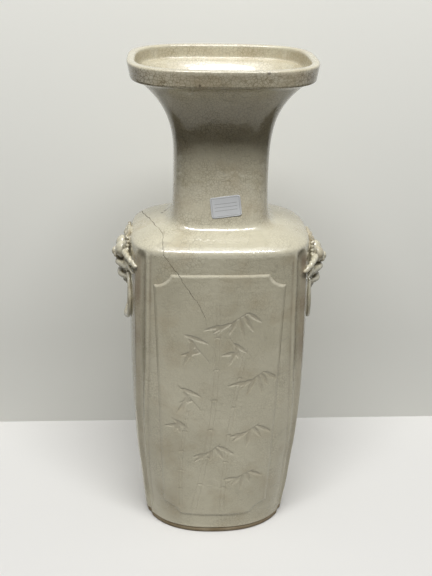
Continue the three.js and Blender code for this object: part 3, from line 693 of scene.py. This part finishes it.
# Bamboo, as a tool cuts it in wet clay: stems as two thin lines with joints, leaves as filled spindles.
# A stem bows by half a sine wave. A leaf is as wide as a sine of the way along it and sags by the square of it.
def bamboo(x, z):
    strokes, t = [], np.linspace(0, 1, 24)
    for foot, head, bow, thick, joints in bambooStems:
        path = between(np.array(foot, float), np.array(head, float), t[:, None])
        path[:, 0] += bow * np.sin(math.pi * t)
        half = 0.5 * thick * (1 - 0.35 * t)
        for sign in (-1, 1):
            strokes.append((path + np.stack([sign * half, np.zeros_like(t)], -1), bambooMarks["stem"]))
        for k in range(1, joints):
            at = k / joints
            middle = np.array([np.interp(at, t, path[:, 0]), np.interp(at, t, path[:, 1])])
            s = np.linspace(-1, 1, 7)
            joint = middle + np.stack([(np.interp(at, t, half) + 1.0) * s, 1.2 * (1 - s ** 2)], -1)
            strokes.append((joint, bambooMarks["joint"]))
    for i, (root, tip, leaves, length) in enumerate(bambooSprays):
        s = np.linspace(0, 1, 9)[:, None]
        twig = between(np.array(root, float), np.array(tip, float), s) + np.array([0, 5.0]) * s * (1 - s)
        strokes.append((twig, bambooMarks["twig"]))
        for k in range(leaves):
            heading = math.radians(-100 + 75 * (k / (leaves - 1) - 0.5) * 2 + 9 * math.sin(3.1 * i + 1.7 * k))
            size = length * (0.8 + 0.2 * math.sin(2.3 * i + 4.1 * k))
            u = np.linspace(0, 1, 11)
            leaf = twig[min(3 + k, 8)] + size * u[:, None] * np.array([math.cos(heading), math.sin(heading)])
            leaf[:, 1] -= 0.10 * size * u ** 2
            strokes.append((leaf, bambooMarks["leaf"] * np.sin(math.pi * u ** 0.75) + 0.15))
    cut = np.zeros_like(x)
    for path, width in strokes:
        cut = np.maximum(cut, stroke(x, z, path, width * np.ones(len(path))))
    return cut


# The panel as a fine grid over its rectangle. Its height over the wall follows the distance to its outline:
# a tapering rectangle less a shallow round bite at each corner. Outside the outline it dips under the skin.
# A few points further in close each row round the back. The second result is the share of thin glaze and painted shade:
# half in the cuts, and a bell curve along the edge that paints the shade of the panel's step.
def raisedPanel(side, cut, along):
    form = panelForm
    head, foot, headHalf, footHalf, dip = (form[key] for key in ("head", "foot", "headHalf", "footHalf", "dip"))
    x = along + np.arange(-headHalf - form["margin"], headHalf + form["margin"], form["spacing"])
    z = np.arange(foot - form["margin"], head + form["margin"], form["spacing"])
    x, z = np.meshgrid(x, z)
    half = between(footHalf, headHalf, (z - foot) / (head - foot))
    out = np.abs(x - along)
    away = np.maximum(np.maximum(out - half, z - head), foot - z)
    for level, cornerHalf in ((head + form["notchLift"], headHalf), (foot - form["notchLift"], footHalf)):
        away = np.maximum(away, form["notch"] - np.hypot(out - cornerHalf, z - level))
    marks = cut(x, z) * (away < -form["border"]) if cut else np.zeros_like(x)
    height = between(-dip, form["relief"], smooth(0.35 - away / form["edge"])) - form["cutDepth"] * marks
    face = frontFace(x, z)
    front = np.stack([x, side * (face + height + handWave(x, side * face, z)), z], -1)
    backX = along + headHalf * np.array([[0.92, 0.0, -0.92]]) * np.ones((len(x), 1))
    backZ = np.repeat(z[:, :1], 3, axis=1)
    back = np.stack([backX, side * (frontFace(backX, backZ) - form["behind"]), backZ], -1)
    # The bell along the outline is painted shade on the panel's step
    return np.concatenate([front, back], axis=1), np.maximum(0.5 * marks, 1.4 * bell((away - 0.4) / 0.8))


for name, side, cut, along in (("front_panel", -1, bamboo, -2.0), ("back_panel", 1, None, 0.0)):
    rows, thin = raisedPanel(side, cut, along)
    mesh = meshFrom(name, *closedGrid(rows))
    # The panel's share holds the incised cuts and painted shade along its step
    sunk = np.zeros(rows.shape[:2])
    sunk[:, :thin.shape[1]] = thin
    addShare(mesh, "incisedAndEdgeShade", sunk)
    addPiece(name, mesh, panelGlaze)
    print(name + ":", len(mesh.polygons), "faces")

# Lion masks: sprigs pressed in a mould and luted to the sides, then softened by the glaze.
# Each lump is out from the wall, across and up from the mask's middle, then its three radii, in mm.
# A lump with a place across comes in a pair.
maskForm = {
    "level": wallTop - 29.5, "voxel": 0.62, "soften": 6,
    # How far each mask stands out, then its shift out, deep and up: the pair isn't quite even
    "stand": {"left": 1.07, "right": 1.17},
    "shift": {"left": (0.0, 0.0, 0.0), "right": (0.6, -3.0, -5.5)},
}
maskLumps = [
    (0, 0, -1, 9.0, 25, 33),  # ground
    (9.4, 9.6, 8.6, 7.6, 9.2, 9.8), (16.4, 9.0, 1.6, 2.0, 3.0, 2.7),  # brow, eye
    (11.5, 0, 6, 5.0, 3.8, 9), (17.4, 0, 2.2, 3.8, 4.4, 5.4),  # bridge, nose
    (15.8, 4.4, -1.6, 3.0, 2.8, 2.6), (12.4, 4.6, -8.4, 4.6, 6.4, 3.8),  # nostril, lip
    (7.0, 0, -24.0, 8.0, 9.0, 7.6),  # chin
    (12.6, 5.4, -13.0, 1.3, 1.3, 2.6), (12.4, 1.8, -12.2, 1.4, 1.6, 1.8),  # upper teeth
    (9.8, 6.0, -20.6, 1.2, 1.2, 2.2), (5.0, 21.0, 17.5, 4.0, 3.4, 5.4),  # lower tooth, ear
    (2.2, 10.5, 27.0, 2.4, 3.4, 7.0), (2.2, 3.6, 28.5, 2.6, 3.0, 5.5),  # leaves over the brow
    (4.6, 6.0, -31.5, 3.8, 3.8, 4.0), (4.4, 0, -33.5, 3.8, 3.4, 4.2),  # beard
]
# Mane locks and the bands of the lips: through these points, then the radius at each end and the depth of the twist
maneLocks = [
    ([(14.6, 3, -8.6), (11.4, 11, -8.8), (7.2, 18.5, -8.8), (3.8, 26, -8.4), (2.2, 31, -8.0)], 4.1, 3.3, 0.05),
    ([(12.0, 2, -23.6), (10.0, 10, -23.8), (6.4, 17.5, -23.0), (2.8, 24.5, -21.0)], 3.6, 2.8, 0.0),
    ([(5.6, 20, 9.5), (5.6, 30, 12.4), (4.8, 41, 12.6), (3.6, 51, 9.8), (2.2, 59.5, 5.5)], 3.6, 2.8, 0.2),
    ([(3.6, 26, -2), (3.2, 35, -1.5), (2.4, 44, -2.5), (1.4, 53, -5.5)], 2.4, 1.6, 0.2),
    ([(4.5, 14, -22), (4.2, 17.5, -27), (2.6, 20, -32)], 2.4, 1.3, 0.15),
]
# Curls round the crown: middle out, across and up, then the radius
maneCurls = [(4.0, 22.6, 20.0, 3.0), (4.2, 16.2, 25.0, 3.2), (4.8, 7.0, 25.6, 3.4)]
# Row of beads in front of the mane: first and last bead out, across and up, how many, radius
maneBeads = ((3.4, 27.6, 6.0), (2.8, 24.2, 28.0), 6, 2.2)


# Lump: a ball stretched to three radii, with its grid's rows from pole to pole
def lump(out, across, up, ro, ra, ru, rows=18, columns=28):
    lat = np.linspace(-math.pi / 2, math.pi / 2, rows + 2)[1:-1, None]
    lon = roundTurns(columns)[None, :]
    return np.stack([out + ro * np.cos(lat) * np.cos(lon), across + ra * np.cos(lat) * np.sin(lon),
                     up + ru * np.sin(lat) + 0 * lon], -1)


# Rope: a tube round a smooth path through the given points, with a twist of two strands.
# The path is a cubic through the points, and the radius runs from thick to thin and closes at both ends.
def rope(points, thick, thin, strands=2, pitch=7.0, lay=0.16, steps=56, columns=20):
    p = np.array(points, float)
    p = np.vstack([2 * p[0] - p[1], p, 2 * p[-1] - p[-2]])
    s = np.linspace(0, len(p) - 3 - 1e-9, steps)
    i, t = s.astype(int), (s % 1)[:, None]
    a, b, c, d = p[i], p[i + 1], p[i + 2], p[i + 3]
    path = 0.5 * (2 * b + (c - a) * t + (2 * a - 5 * b + 4 * c - d) * t ** 2 + (3 * b - a - 3 * c + d) * t ** 3)
    ahead = unit(np.gradient(path, axis=0))
    side = unit(np.cross(ahead, [1.0, 0, 0]))[:, None]
    upward = np.cross(side[:, 0], ahead)[:, None]
    along = lengthAlong(path)
    share = along / along[-1]
    radius = between(thick, thin, share) * np.sqrt(np.clip(1 - np.abs(2 * share - 1) ** 8, 0.02, 1))
    turn = roundTurns(columns)[None, :]
    wide = radius[:, None] * (1 + lay * np.cos(strands * turn - 2 * math.pi * along[:, None] / pitch))
    return path[:, None] + wide[..., None] * (np.cos(turn)[..., None] * side + np.sin(turn)[..., None] * upward)


# Curl: a rope along a flat spiral that closes in and rises to its middle
def curl(out, across, up, radius):
    t = np.linspace(0, 1, 12)
    turn = 2 * math.pi * 1.4 * t
    r = radius * (1 - 0.78 * t)
    points = np.stack([out + 1.6 * t, across + r * np.cos(turn), up + r * np.sin(turn)], -1)
    return rope(points, 0.42 * radius, 0.34 * radius, lay=0.0, steps=60, columns=14)


# Brings a shape that is given out from the wall, across and up onto a side wall
def ontoWall(shape, name, side):
    level, shift = maskForm["level"], maskForm["shift"][name]
    out = shape[..., 0] * maskForm["stand"][name] + shift[0]
    across, up = shape[..., 1] + shift[1], shape[..., 2] + shift[2]
    return np.stack([side * (sideFace(across, level + up) + out), across, level + up], -1)


# Fuses closed shapes into one skin by a voxel remesh and softens it, as glaze fills the corners
def fuse(name, shapes, voxel, soften):
    points, quads, tris, count = [], [], [], 0
    for shape in shapes:
        p, q, t = closedGrid(shape)
        points.append(p)
        quads.append(q + count)
        tris.append(t + count)
        count += len(p)
    rough = meshFrom(name, np.vstack(points), np.vstack(quads), np.vstack(tris))
    piece = linkObject(name, rough)
    remesh = piece.modifiers.new("fuse", "REMESH")
    remesh.mode, remesh.voxel_size, remesh.use_smooth_shade = "VOXEL", voxel * 0.001, True
    smoothing = piece.modifiers.new("soften", "SMOOTH")
    smoothing.factor, smoothing.iterations = 0.5, soften
    view = piece.evaluated_get(bpy.context.evaluated_depsgraph_get())
    mesh = bpy.data.meshes.new_from_object(view)
    mesh.materials.clear()
    bpy.data.objects.remove(piece)
    bpy.data.meshes.remove(rough)
    mesh.name = name
    mesh.polygons.foreach_set("use_smooth", np.ones(len(mesh.polygons), dtype=bool))
    return mesh


# A mask's lumps, locks, beads and curls, given for one half and mirrored, then brought onto the wall
def maskShapes(name, side):
    shapes, (first, last, count, size) = [], maneBeads
    for sign in (-1, 1):
        for out, across, up, *radii in maskLumps:
            if across or sign > 0:
                shapes.append(lump(out, sign * across, up, *radii))
        for points, thick, thin, lay in maneLocks:
            shapes.append(rope([(o, sign * a, u) for o, a, u in points], thick, thin, lay=lay))
        for share in np.linspace(0, 1, count):
            out, across, up = between(np.array(first), np.array(last), share)
            shapes.append(lump(out, sign * across, up, size, size, size, rows=8, columns=14))
        for out, across, up, radius in maneCurls:
            spiral = curl(out, across, up, radius)
            spiral[..., 1] *= sign
            shapes.append(spiral)
    return [ontoWall(shape, name, side) for shape in shapes]


# Mock rings: rods bent round and laid on the wall, with their tops in the lions' mouths
ringForm = {
    # radius of the ring and of its rod, how much thicker it is at its foot, and how far it leans out, in mm
    "radius": 32.0, "rod": 2.2, "foot": 1.9, "level": maskForm["level"] - 43.0, "tilt": 0.4,
    "shift": {"left": (-11.5, 0.0), "right": (-6.0, -3.5)},  # deep and up
}


# A hoop: the rod's circle carried round the ring, laid on the wall and lifted a little towards the bottom,
# where the rod swells by a bell curve of the turn
def mockRing(name, side):
    form = ringForm
    swing, drop = form["shift"][name]
    level = form["level"] + drop
    turn, around = roundTurns(150)[:, None], roundTurns(26)[None, :]
    rod = form["rod"] * (1 + 0.05 * np.sin(3 * turn + 1) + 0.03 * np.sin(7 * turn))
    rod = rod + form["foot"] * bell((turn - math.pi) / 0.42)
    across, up = np.sin(turn), np.cos(turn)
    reach = form["radius"] + rod * np.cos(around)
    wall = sideFace(swing + form["radius"] * across, level + form["radius"] * up)
    out = wall + rod + rod * np.sin(around) + form["tilt"] * (1 - up) / 2
    return np.stack([side * out, swing + reach * across, level + reach * up], -1)


for name, side in (("left", -1), ("right", 1)):
    mesh = fuse("lion_mask_relief_" + name, maskShapes(name, side), maskForm["voxel"], maskForm["soften"])
    addPiece("lion_mask_relief_" + name, mesh, spriggedGlaze, ["lion_mask_" + name])
    print("lion mask", name + ":", len(mesh.polygons), "faces")
    mesh = meshFrom("laid_ring_" + name, *closedGrid(mockRing(name, side), hoop=True))
    addPiece("laid_ring_" + name, mesh, spriggedGlaze, ["mock_ring_" + name])
print("masks and rings made")

# Hairline crack: an open crack through the glaze, stained dark, from the left shoulder down into the panel.
# Its points lie along, deep and up.
crackForm = {"width": 0.8, "wander": 0.8, "thick": 0.12, "dark": "#2a231b", "pale": "#5d4f3d",
             "patchScale": 220.0, "roughness": 0.7}
crackPoints = [
    (-93.8, 46.7, 402.8), (-90.6, 33.0, 405.6), (-86.9, 19.1, 407.9), (-79.2, -8.3, 410.8), (-75.0, -22.5, 411.9),
    (-70.2, -36.2, 412.3), (-66.7, -50.8, 410.8), (-66.1, -63.9, 406.5), (-66.4, -72.2, 401.6), (-62.9, -76.4, 394.9),
    (-58.5, -77.9, 386.5), (-53.5, -78.7, 380.7), (-47.4, -81.1, 371.4), (-41.8, -82.1, 362.6), (-33.9, -82.8, 350.4),
    (-28.2, -83.2, 341.1), (-22.5, -83.6, 329.9), (-18.4, -83.9, 321.1), (-16.0, -84.0, 310.8),
]


# Brings points onto the outer skin. Below the shoulder a point is scaled in plan to the superellipse.
# On the shoulder its height comes from the run whose ring passes through it, found by halving.
# On the panel it lies on the panel's face.
def ontoSkin(points):
    x, y, z = points.T
    a, b, n = bodyHalf(z, 0), bodyHalf(z, 1), squareness(z)
    k = planPower(x, y, a, b, n) ** (-1 / n)
    low, high = np.zeros_like(x), np.ones_like(x)
    for _ in range(30):
        run = (low + high) / 2
        rn = squareness(shoulderHeight(run))
        inside = planPower(x, y, shoulderHalf(run, 0), shoulderHalf(run, 1), rn) < 1
        low, high = np.where(inside, low, run), np.where(inside, run, high)
    body = np.stack([x * k, y * k, z], -1)
    onPanel = stretch(z, panelForm["foot"], 8, panelForm["head"] + 1, 3)
    onPanel = onPanel * smooth((panelForm["headHalf"] - 2 - np.abs(x)) / 2) * (y < 0)
    body[:, 1] -= panelForm["relief"] * onPanel
    body[:, :2] *= 1 + (handWave(*body.T) / np.hypot(body[:, 0], body[:, 1]))[:, None]
    onTop = smooth((z - wallTop + 0.5) / 1.5)[:, None]
    return body * (1 - onTop) + np.stack([x, y, shoulderHeight(run)], -1) * onTop


# The crack: a thin flat thread half sunk in the glaze, along a wandering line through the points.
# It wanders by sines of three lengths and thins out towards its lower end.
def hairline():
    p = np.array(crackPoints)
    along = lengthAlong(p)
    s = np.linspace(0, along[-1], 420)
    path = np.stack([np.interp(s, along, p[:, i]) for i in range(3)], -1)
    kernel = np.hanning(27) / np.hanning(27).sum()
    padded = np.vstack([np.repeat(path[:1], 13, 0), path, np.repeat(path[-1:], 13, 0)])
    path = np.stack([np.convolve(padded[:, i], kernel, "valid") for i in range(3)], -1)
    stray = crackForm["wander"] * (np.sin(s / 3.1) + 0.6 * np.sin(s / 1.3 + 1) + 1.4 * np.sin(s / 8.3 + 2)) / 2
    path[:, 0] += stray * 0.8
    path[:, 2] += stray * 0.5 * (path[:, 2] < wallTop)
    path = ontoSkin(path)
    ahead = unit(np.gradient(path, axis=0))
    middle = path * np.array([1, 1, 0]) / np.hypot(path[:, 0], path[:, 1])[:, None]
    outward = middle + np.array([0, 0, 1.0]) * smooth((path[:, 2] - wallTop) / 14)[:, None] * 2.5
    side = unit(np.cross(ahead, outward))
    outward = np.cross(side, ahead)
    share = s / s[-1]
    wide = crackForm["width"] / 2 * (1 - 0.75 * smooth((share - 0.72) / 0.28)) * (0.8 + 0.25 * np.sin(s / 4.7))
    turn = roundTurns(8)
    flat = np.cos(turn)[None, :, None] * side[:, None] * wide[:, None, None]
    return path[:, None] + flat + crackForm["thick"] * np.sin(turn)[None, :, None] * outward[:, None]


# Stain in an open crack: dirt and old tea, matt and nearly black-brown
def crackStain():
    material, tree = newMaterial("crackStain")
    patches = noiseAt(tree, objectPlace(tree), crackForm["patchScale"])
    base = mixColours(tree, patches, crackForm["dark"], crackForm["pale"])
    addSurface(tree, Base_Color=base, Roughness=crackForm["roughness"])
    return material


addPiece("hairline_crack", meshFrom("hairline_crack", *closedGrid(hairline())), crackStain())

# Paper label on the neck, with ruled lines and a frame
labelForm = {
    "width": 34.5, "height": 23.5, "corner": 3.0, "along": 4.6, "rise": 1.2, "tilt": math.radians(6.7),
    "thick": 0.25, "lift": 0.22, "cornerCurl": 0.5,
    "paper": "#d6d8da", "soiled": "#c6c8c9", "ink": "#6c6a66", "inkAmount": 0.55, "roughness": 0.82,
    "soilScale": 90.0, "fibreScale": 1400.0, "fibreStrength": 0.3, "fibreDepth": 0.0001,
    # levels of the ruled lines up the label, their half width, and how far they reach from its middle
    "rules": (0.34, 0.5, 0.66), "ruleHalf": 0.012, "ruleReach": 0.74,
    # each side of the printed frame: its place from the middle, its half width and its reach
    "frameSides": ((0.9, 0.012, 0.86), (0.85, 0.018, 0.91)),
}


# A rectangle whose corner squares are pressed to quarter discs, tilted and laid on the neck's front
def labelSheet(lift):
    form = labelForm
    u, v = np.meshgrid(np.linspace(-1, 1, 61) * form["width"] / 2, np.linspace(-1, 1, 43) * form["height"] / 2)
    cu, cv = form["width"] / 2 - form["corner"], form["height"] / 2 - form["corner"]
    s, t = np.maximum(np.abs(u) - cu, 0), np.maximum(np.abs(v) - cv, 0)
    k = np.maximum(s, t) / np.maximum(np.hypot(s, t), 1e-9)
    k = np.where((s > 0) & (t > 0), k, 1)
    u = np.sign(u) * (np.minimum(np.abs(u), cu) + s * k)
    v = np.sign(v) * (np.minimum(np.abs(v), cv) + t * k)
    c, s = math.cos(form["tilt"]), math.sin(form["tilt"])
    middle = neckBottom + form["rise"] + (form["width"] * s + form["height"] * c) / 2
    x, z = form["along"] + u * c - v * s, middle + u * s + v * c
    curlUp = form["cornerCurl"] * smooth((u / form["width"] - v / form["height"] - 0.62) / 0.38) ** 2
    face = frontFace(x, z)
    y = -(face + handWave(x, -face, z) + lift + curlUp + 0.06 * np.sin(0.35 * u + 0.2 * v))
    return np.stack([x, y, z], -1), u, v


# Label paper: uncoated, a little soiled, with faint grey ruled lines and a thin frame printed on it
def labelPaper():
    form = labelForm
    material, tree = newMaterial("labelPaper")
    place = addNode(tree, "TexCoord").outputs
    along, up, _ = addNode(tree, "SeparateXYZ", i0=place["UV"]).outputs

    def join(operation, a, b=0.0, c=0.0):
        return calculate(tree, operation, a, b, c)

    # Distance from 0.5 in the label's own measure, from 0 at its middle to 1 at its edge
    def fromMiddle(value):
        return join("MULTIPLY", join("ABSOLUTE", join("SUBTRACT", value, 0.5)), 2.0)

    # A line where a value comes within half its width of a level, as far as another value stays under its reach
    def line(value, level, half, other, reach):
        return join("MULTIPLY", join("COMPARE", value, level, half), join("LESS_THAN", other, reach))

    across, upward = fromMiddle(along), fromMiddle(up)
    lines = [line(up, level, form["ruleHalf"], across, form["ruleReach"]) for level in form["rules"]]
    sides = ((across, upward), (upward, across))
    lines += [line(a, level, half, b, reach) for (a, b), (level, half, reach) in zip(sides, form["frameSides"])]
    ink = 0.0
    for drawn in lines:
        ink = join("MAXIMUM", ink, drawn)
    soil = noiseAt(tree, place["Object"], form["soilScale"])
    base = mixColours(tree, soil, form["paper"], form["soiled"])
    base = mixColours(tree, join("MULTIPLY", ink, form["inkAmount"]), base, form["ink"])
    fibre = noiseAt(tree, place["Object"], form["fibreScale"], 4.0)
    addSurface(tree, Base_Color=base, Roughness=form["roughness"],
               Normal=bumpOf(tree, fibre, form["fibreStrength"], form["fibreDepth"]))
    return material


front, u, v = labelSheet(labelForm["lift"] + labelForm["thick"])
behind, _, _ = labelSheet(labelForm["lift"] - 0.2)
mesh = meshFrom("label_sheet", *closedGrid(np.concatenate([front, behind[:, ::-1]], axis=1)))
place = np.stack([u / labelForm["width"] + 0.5, v / labelForm["height"] + 0.5], -1)
place = np.concatenate([place, place[:, ::-1]], axis=1).reshape(-1, 2)
place = np.vstack([place, [[0.5, 0], [0.5, 1]]])
corners = np.zeros(len(mesh.loops), dtype=np.int32)
mesh.loops.foreach_get("vertex_index", corners)
mesh.uv_layers.new(name="place").data.foreach_set("uv", place[corners].astype(np.float32).ravel())
addPiece("label_sheet", mesh, labelPaper(), ["paper_label"])
print("crack and label made")

# The coils in the inside seams keep their solids and get the clay's finish
for name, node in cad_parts.items():
    if name.startswith("seam_coil"):
        node.data.materials.clear()
        node.data.materials.append(coilClay)

# Light: a long soft strip overhead in front, a large dim box beside it over the vase, and a dim room
lightForm = {
    "strip": {"place": (0.0, -1.75, 4.2), "aim": (0, -0.05, 0.45), "across": 3.6, "deep": 0.7, "watts": 184.0},
    "ceiling": {"place": (0.0, -0.9, 4.2), "aim": (0, -0.9, 0), "across": 4.4, "deep": 2.2, "watts": 42.0},
    "room": 0.02, "roomColour": "#eceef0", "roomSeen": 0.8,
    "wallGlow": (0.17, 0.44), "glowHeights": (0.15, 0.65),  # how bright the wall is at two heights in metres
}

# Stage: a pale table that ends a little in front of the vase, a pale wall behind it, and a floor far below,
# which is pale to the camera and dark to the glaze
stageForm = {
    "halfWidth": 480.0, "tableFront": -540.0, "wallAt": 190.0, "wallFoot": -5.0, "wallHead": 1500.0,
    "floorLevel": -760.0, "floorHalf": 4000.0, "roughness": 0.85,
    # each colour as the camera sees it, as the glaze mirrors it, and as it throws light back
    "table": ("#e0dfdc", "#dbd8cd", "#a09e99"), "wall": ("#dcdcd6", "#dcdcd6", "#dcdcd6"),
    "floor": ("#d6d5d1", "#3a3226", "#3a3226"),
}


# A flat board of the stage, by its four corners in mm
def stagePlane(name, corners, material):
    mesh = meshFrom(name, np.array(corners, float), np.array([[0, 1, 2, 3]]), np.zeros((0, 3), dtype=int))
    mesh.materials.append(material)
    plane = linkObject(name, mesh)


# 1 for what the camera sees, itself or mirrored, and 0 for light thrown back
def seenBy(tree, path):
    return calculate(tree, "MAXIMUM", path["Is Camera Ray"], path["Is Glossy Ray"])


# Painted board: plain and matt. The wall glows a little, more with the height, and is open from behind,
# so that the vase is seen from there too.
def paintedBoard(name, colours, openBehind=False):
    value, mirrored, bounced = colours
    material, tree = newMaterial(name)
    path = addNode(tree, "LightPath").outputs
    paint = mixColours(tree, path["Is Glossy Ray"], bounced, mirrored)
    paint = mixColours(tree, path["Is Camera Ray"], paint, value)
    shader = addNode(tree, "BsdfPrincipled", Base_Color=paint, Roughness=stageForm["roughness"]).outputs[0]
    if openBehind:
        up = addNode(tree, "SeparateXYZ", i0=objectPlace(tree)).outputs[2]
        up = moveRange(tree, up, *lightForm["glowHeights"], *lightForm["wallGlow"])
        strength = calculate(tree, "MULTIPLY", seenBy(tree, path), up)
        glow = addNode(tree, "Emission", Color=value, Strength=strength).outputs[0]
        shader = addNode(tree, "AddShader", i0=shader, i1=glow).outputs[0]
        facing = addNode(tree, "NewGeometry").outputs["Backfacing"]
        clear = addNode(tree, "BsdfTransparent").outputs[0]
        shader = addNode(tree, "MixShader", i0=facing, i1=shader, i2=clear).outputs[0]
    addNode(tree, "OutputMaterial", Surface=shader)
    return material


w, near, far, foot, head, low, floor = (stageForm[key] for key in (
    "halfWidth", "tableFront", "wallAt", "wallFoot", "wallHead", "floorLevel", "floorHalf"))
stagePlane("table_top", [(-w, near, 0), (w, near, 0), (w, far, 0), (-w, far, 0)],
           paintedBoard("paintedTable", stageForm["table"]))
stagePlane("back_wall_board", [(-w, far, foot), (w, far, foot), (w, far, head), (-w, far, head)],
           paintedBoard("paintedWall", stageForm["wall"], openBehind=True))
stagePlane("room_floor", [(-floor, -floor, low), (floor, -floor, low), (floor, floor, low), (-floor, floor, low)],
           paintedBoard("roomFloor", stageForm["floor"]))


# A soft box: a rectangular light, turned to its aim by the arc tangents of the way between them
def softBox(name, form):
    data = bpy.data.lights.new(name, "AREA")
    data.shape, data.size, data.size_y, data.energy = "RECTANGLE", form["across"], form["deep"], form["watts"]
    box = linkObject(name, data)
    box.location = form["place"]
    away = np.array(form["place"]) - np.array(form["aim"])
    box.rotation_euler = (math.atan2(math.hypot(away[0], away[1]), away[2]), 0, math.atan2(away[0], -away[1]))


softBox("strip_box", lightForm["strip"])
softBox("ceiling_box", lightForm["ceiling"])
world = bpy.data.worlds.new("dimRoom")
bpy.context.scene.world = world
world.use_nodes = True
tree = world.node_tree
tree.nodes.clear()
path = addNode(tree, "LightPath").outputs
seen = calculate(tree, "MAXIMUM", seenBy(tree, path), path["Is Transmission Ray"])
strength = moveRange(tree, seen, 0.0, 1.0, lightForm["room"], lightForm["roomSeen"])
sky = addNode(tree, "Background", Color=lightForm["roomColour"], Strength=strength)
addNode(tree, "OutputWorld", Surface=sky.outputs[0])

# Camera: just under a metre in front and above the mouth's level, looking down at the vase
cameraForm = {"place": (-0.0586, -0.9582, 0.776), "lens": 54.06, "film": 36.0,
              "right": (0.99857572, -0.05018177, 0.01812988), "up": (0.00517408, 0.42928693, 0.90315334)}
lens = bpy.data.cameras.new("camera")
lens.lens, lens.sensor_width = cameraForm["lens"], cameraForm["film"]
camera = linkObject("camera", lens)
right, upward = np.array(cameraForm["right"]), np.array(cameraForm["up"])
turned = np.eye(4)
turned[:3, 0], turned[:3, 1], turned[:3, 2] = right, upward, np.cross(right, upward)
turned[:3, 3] = cameraForm["place"]
camera.matrix_world = Matrix(turned.tolist())
bpy.context.scene.camera = camera
bpy.context.scene.view_settings.view_transform = "Standard"
print("stage, light and camera set")
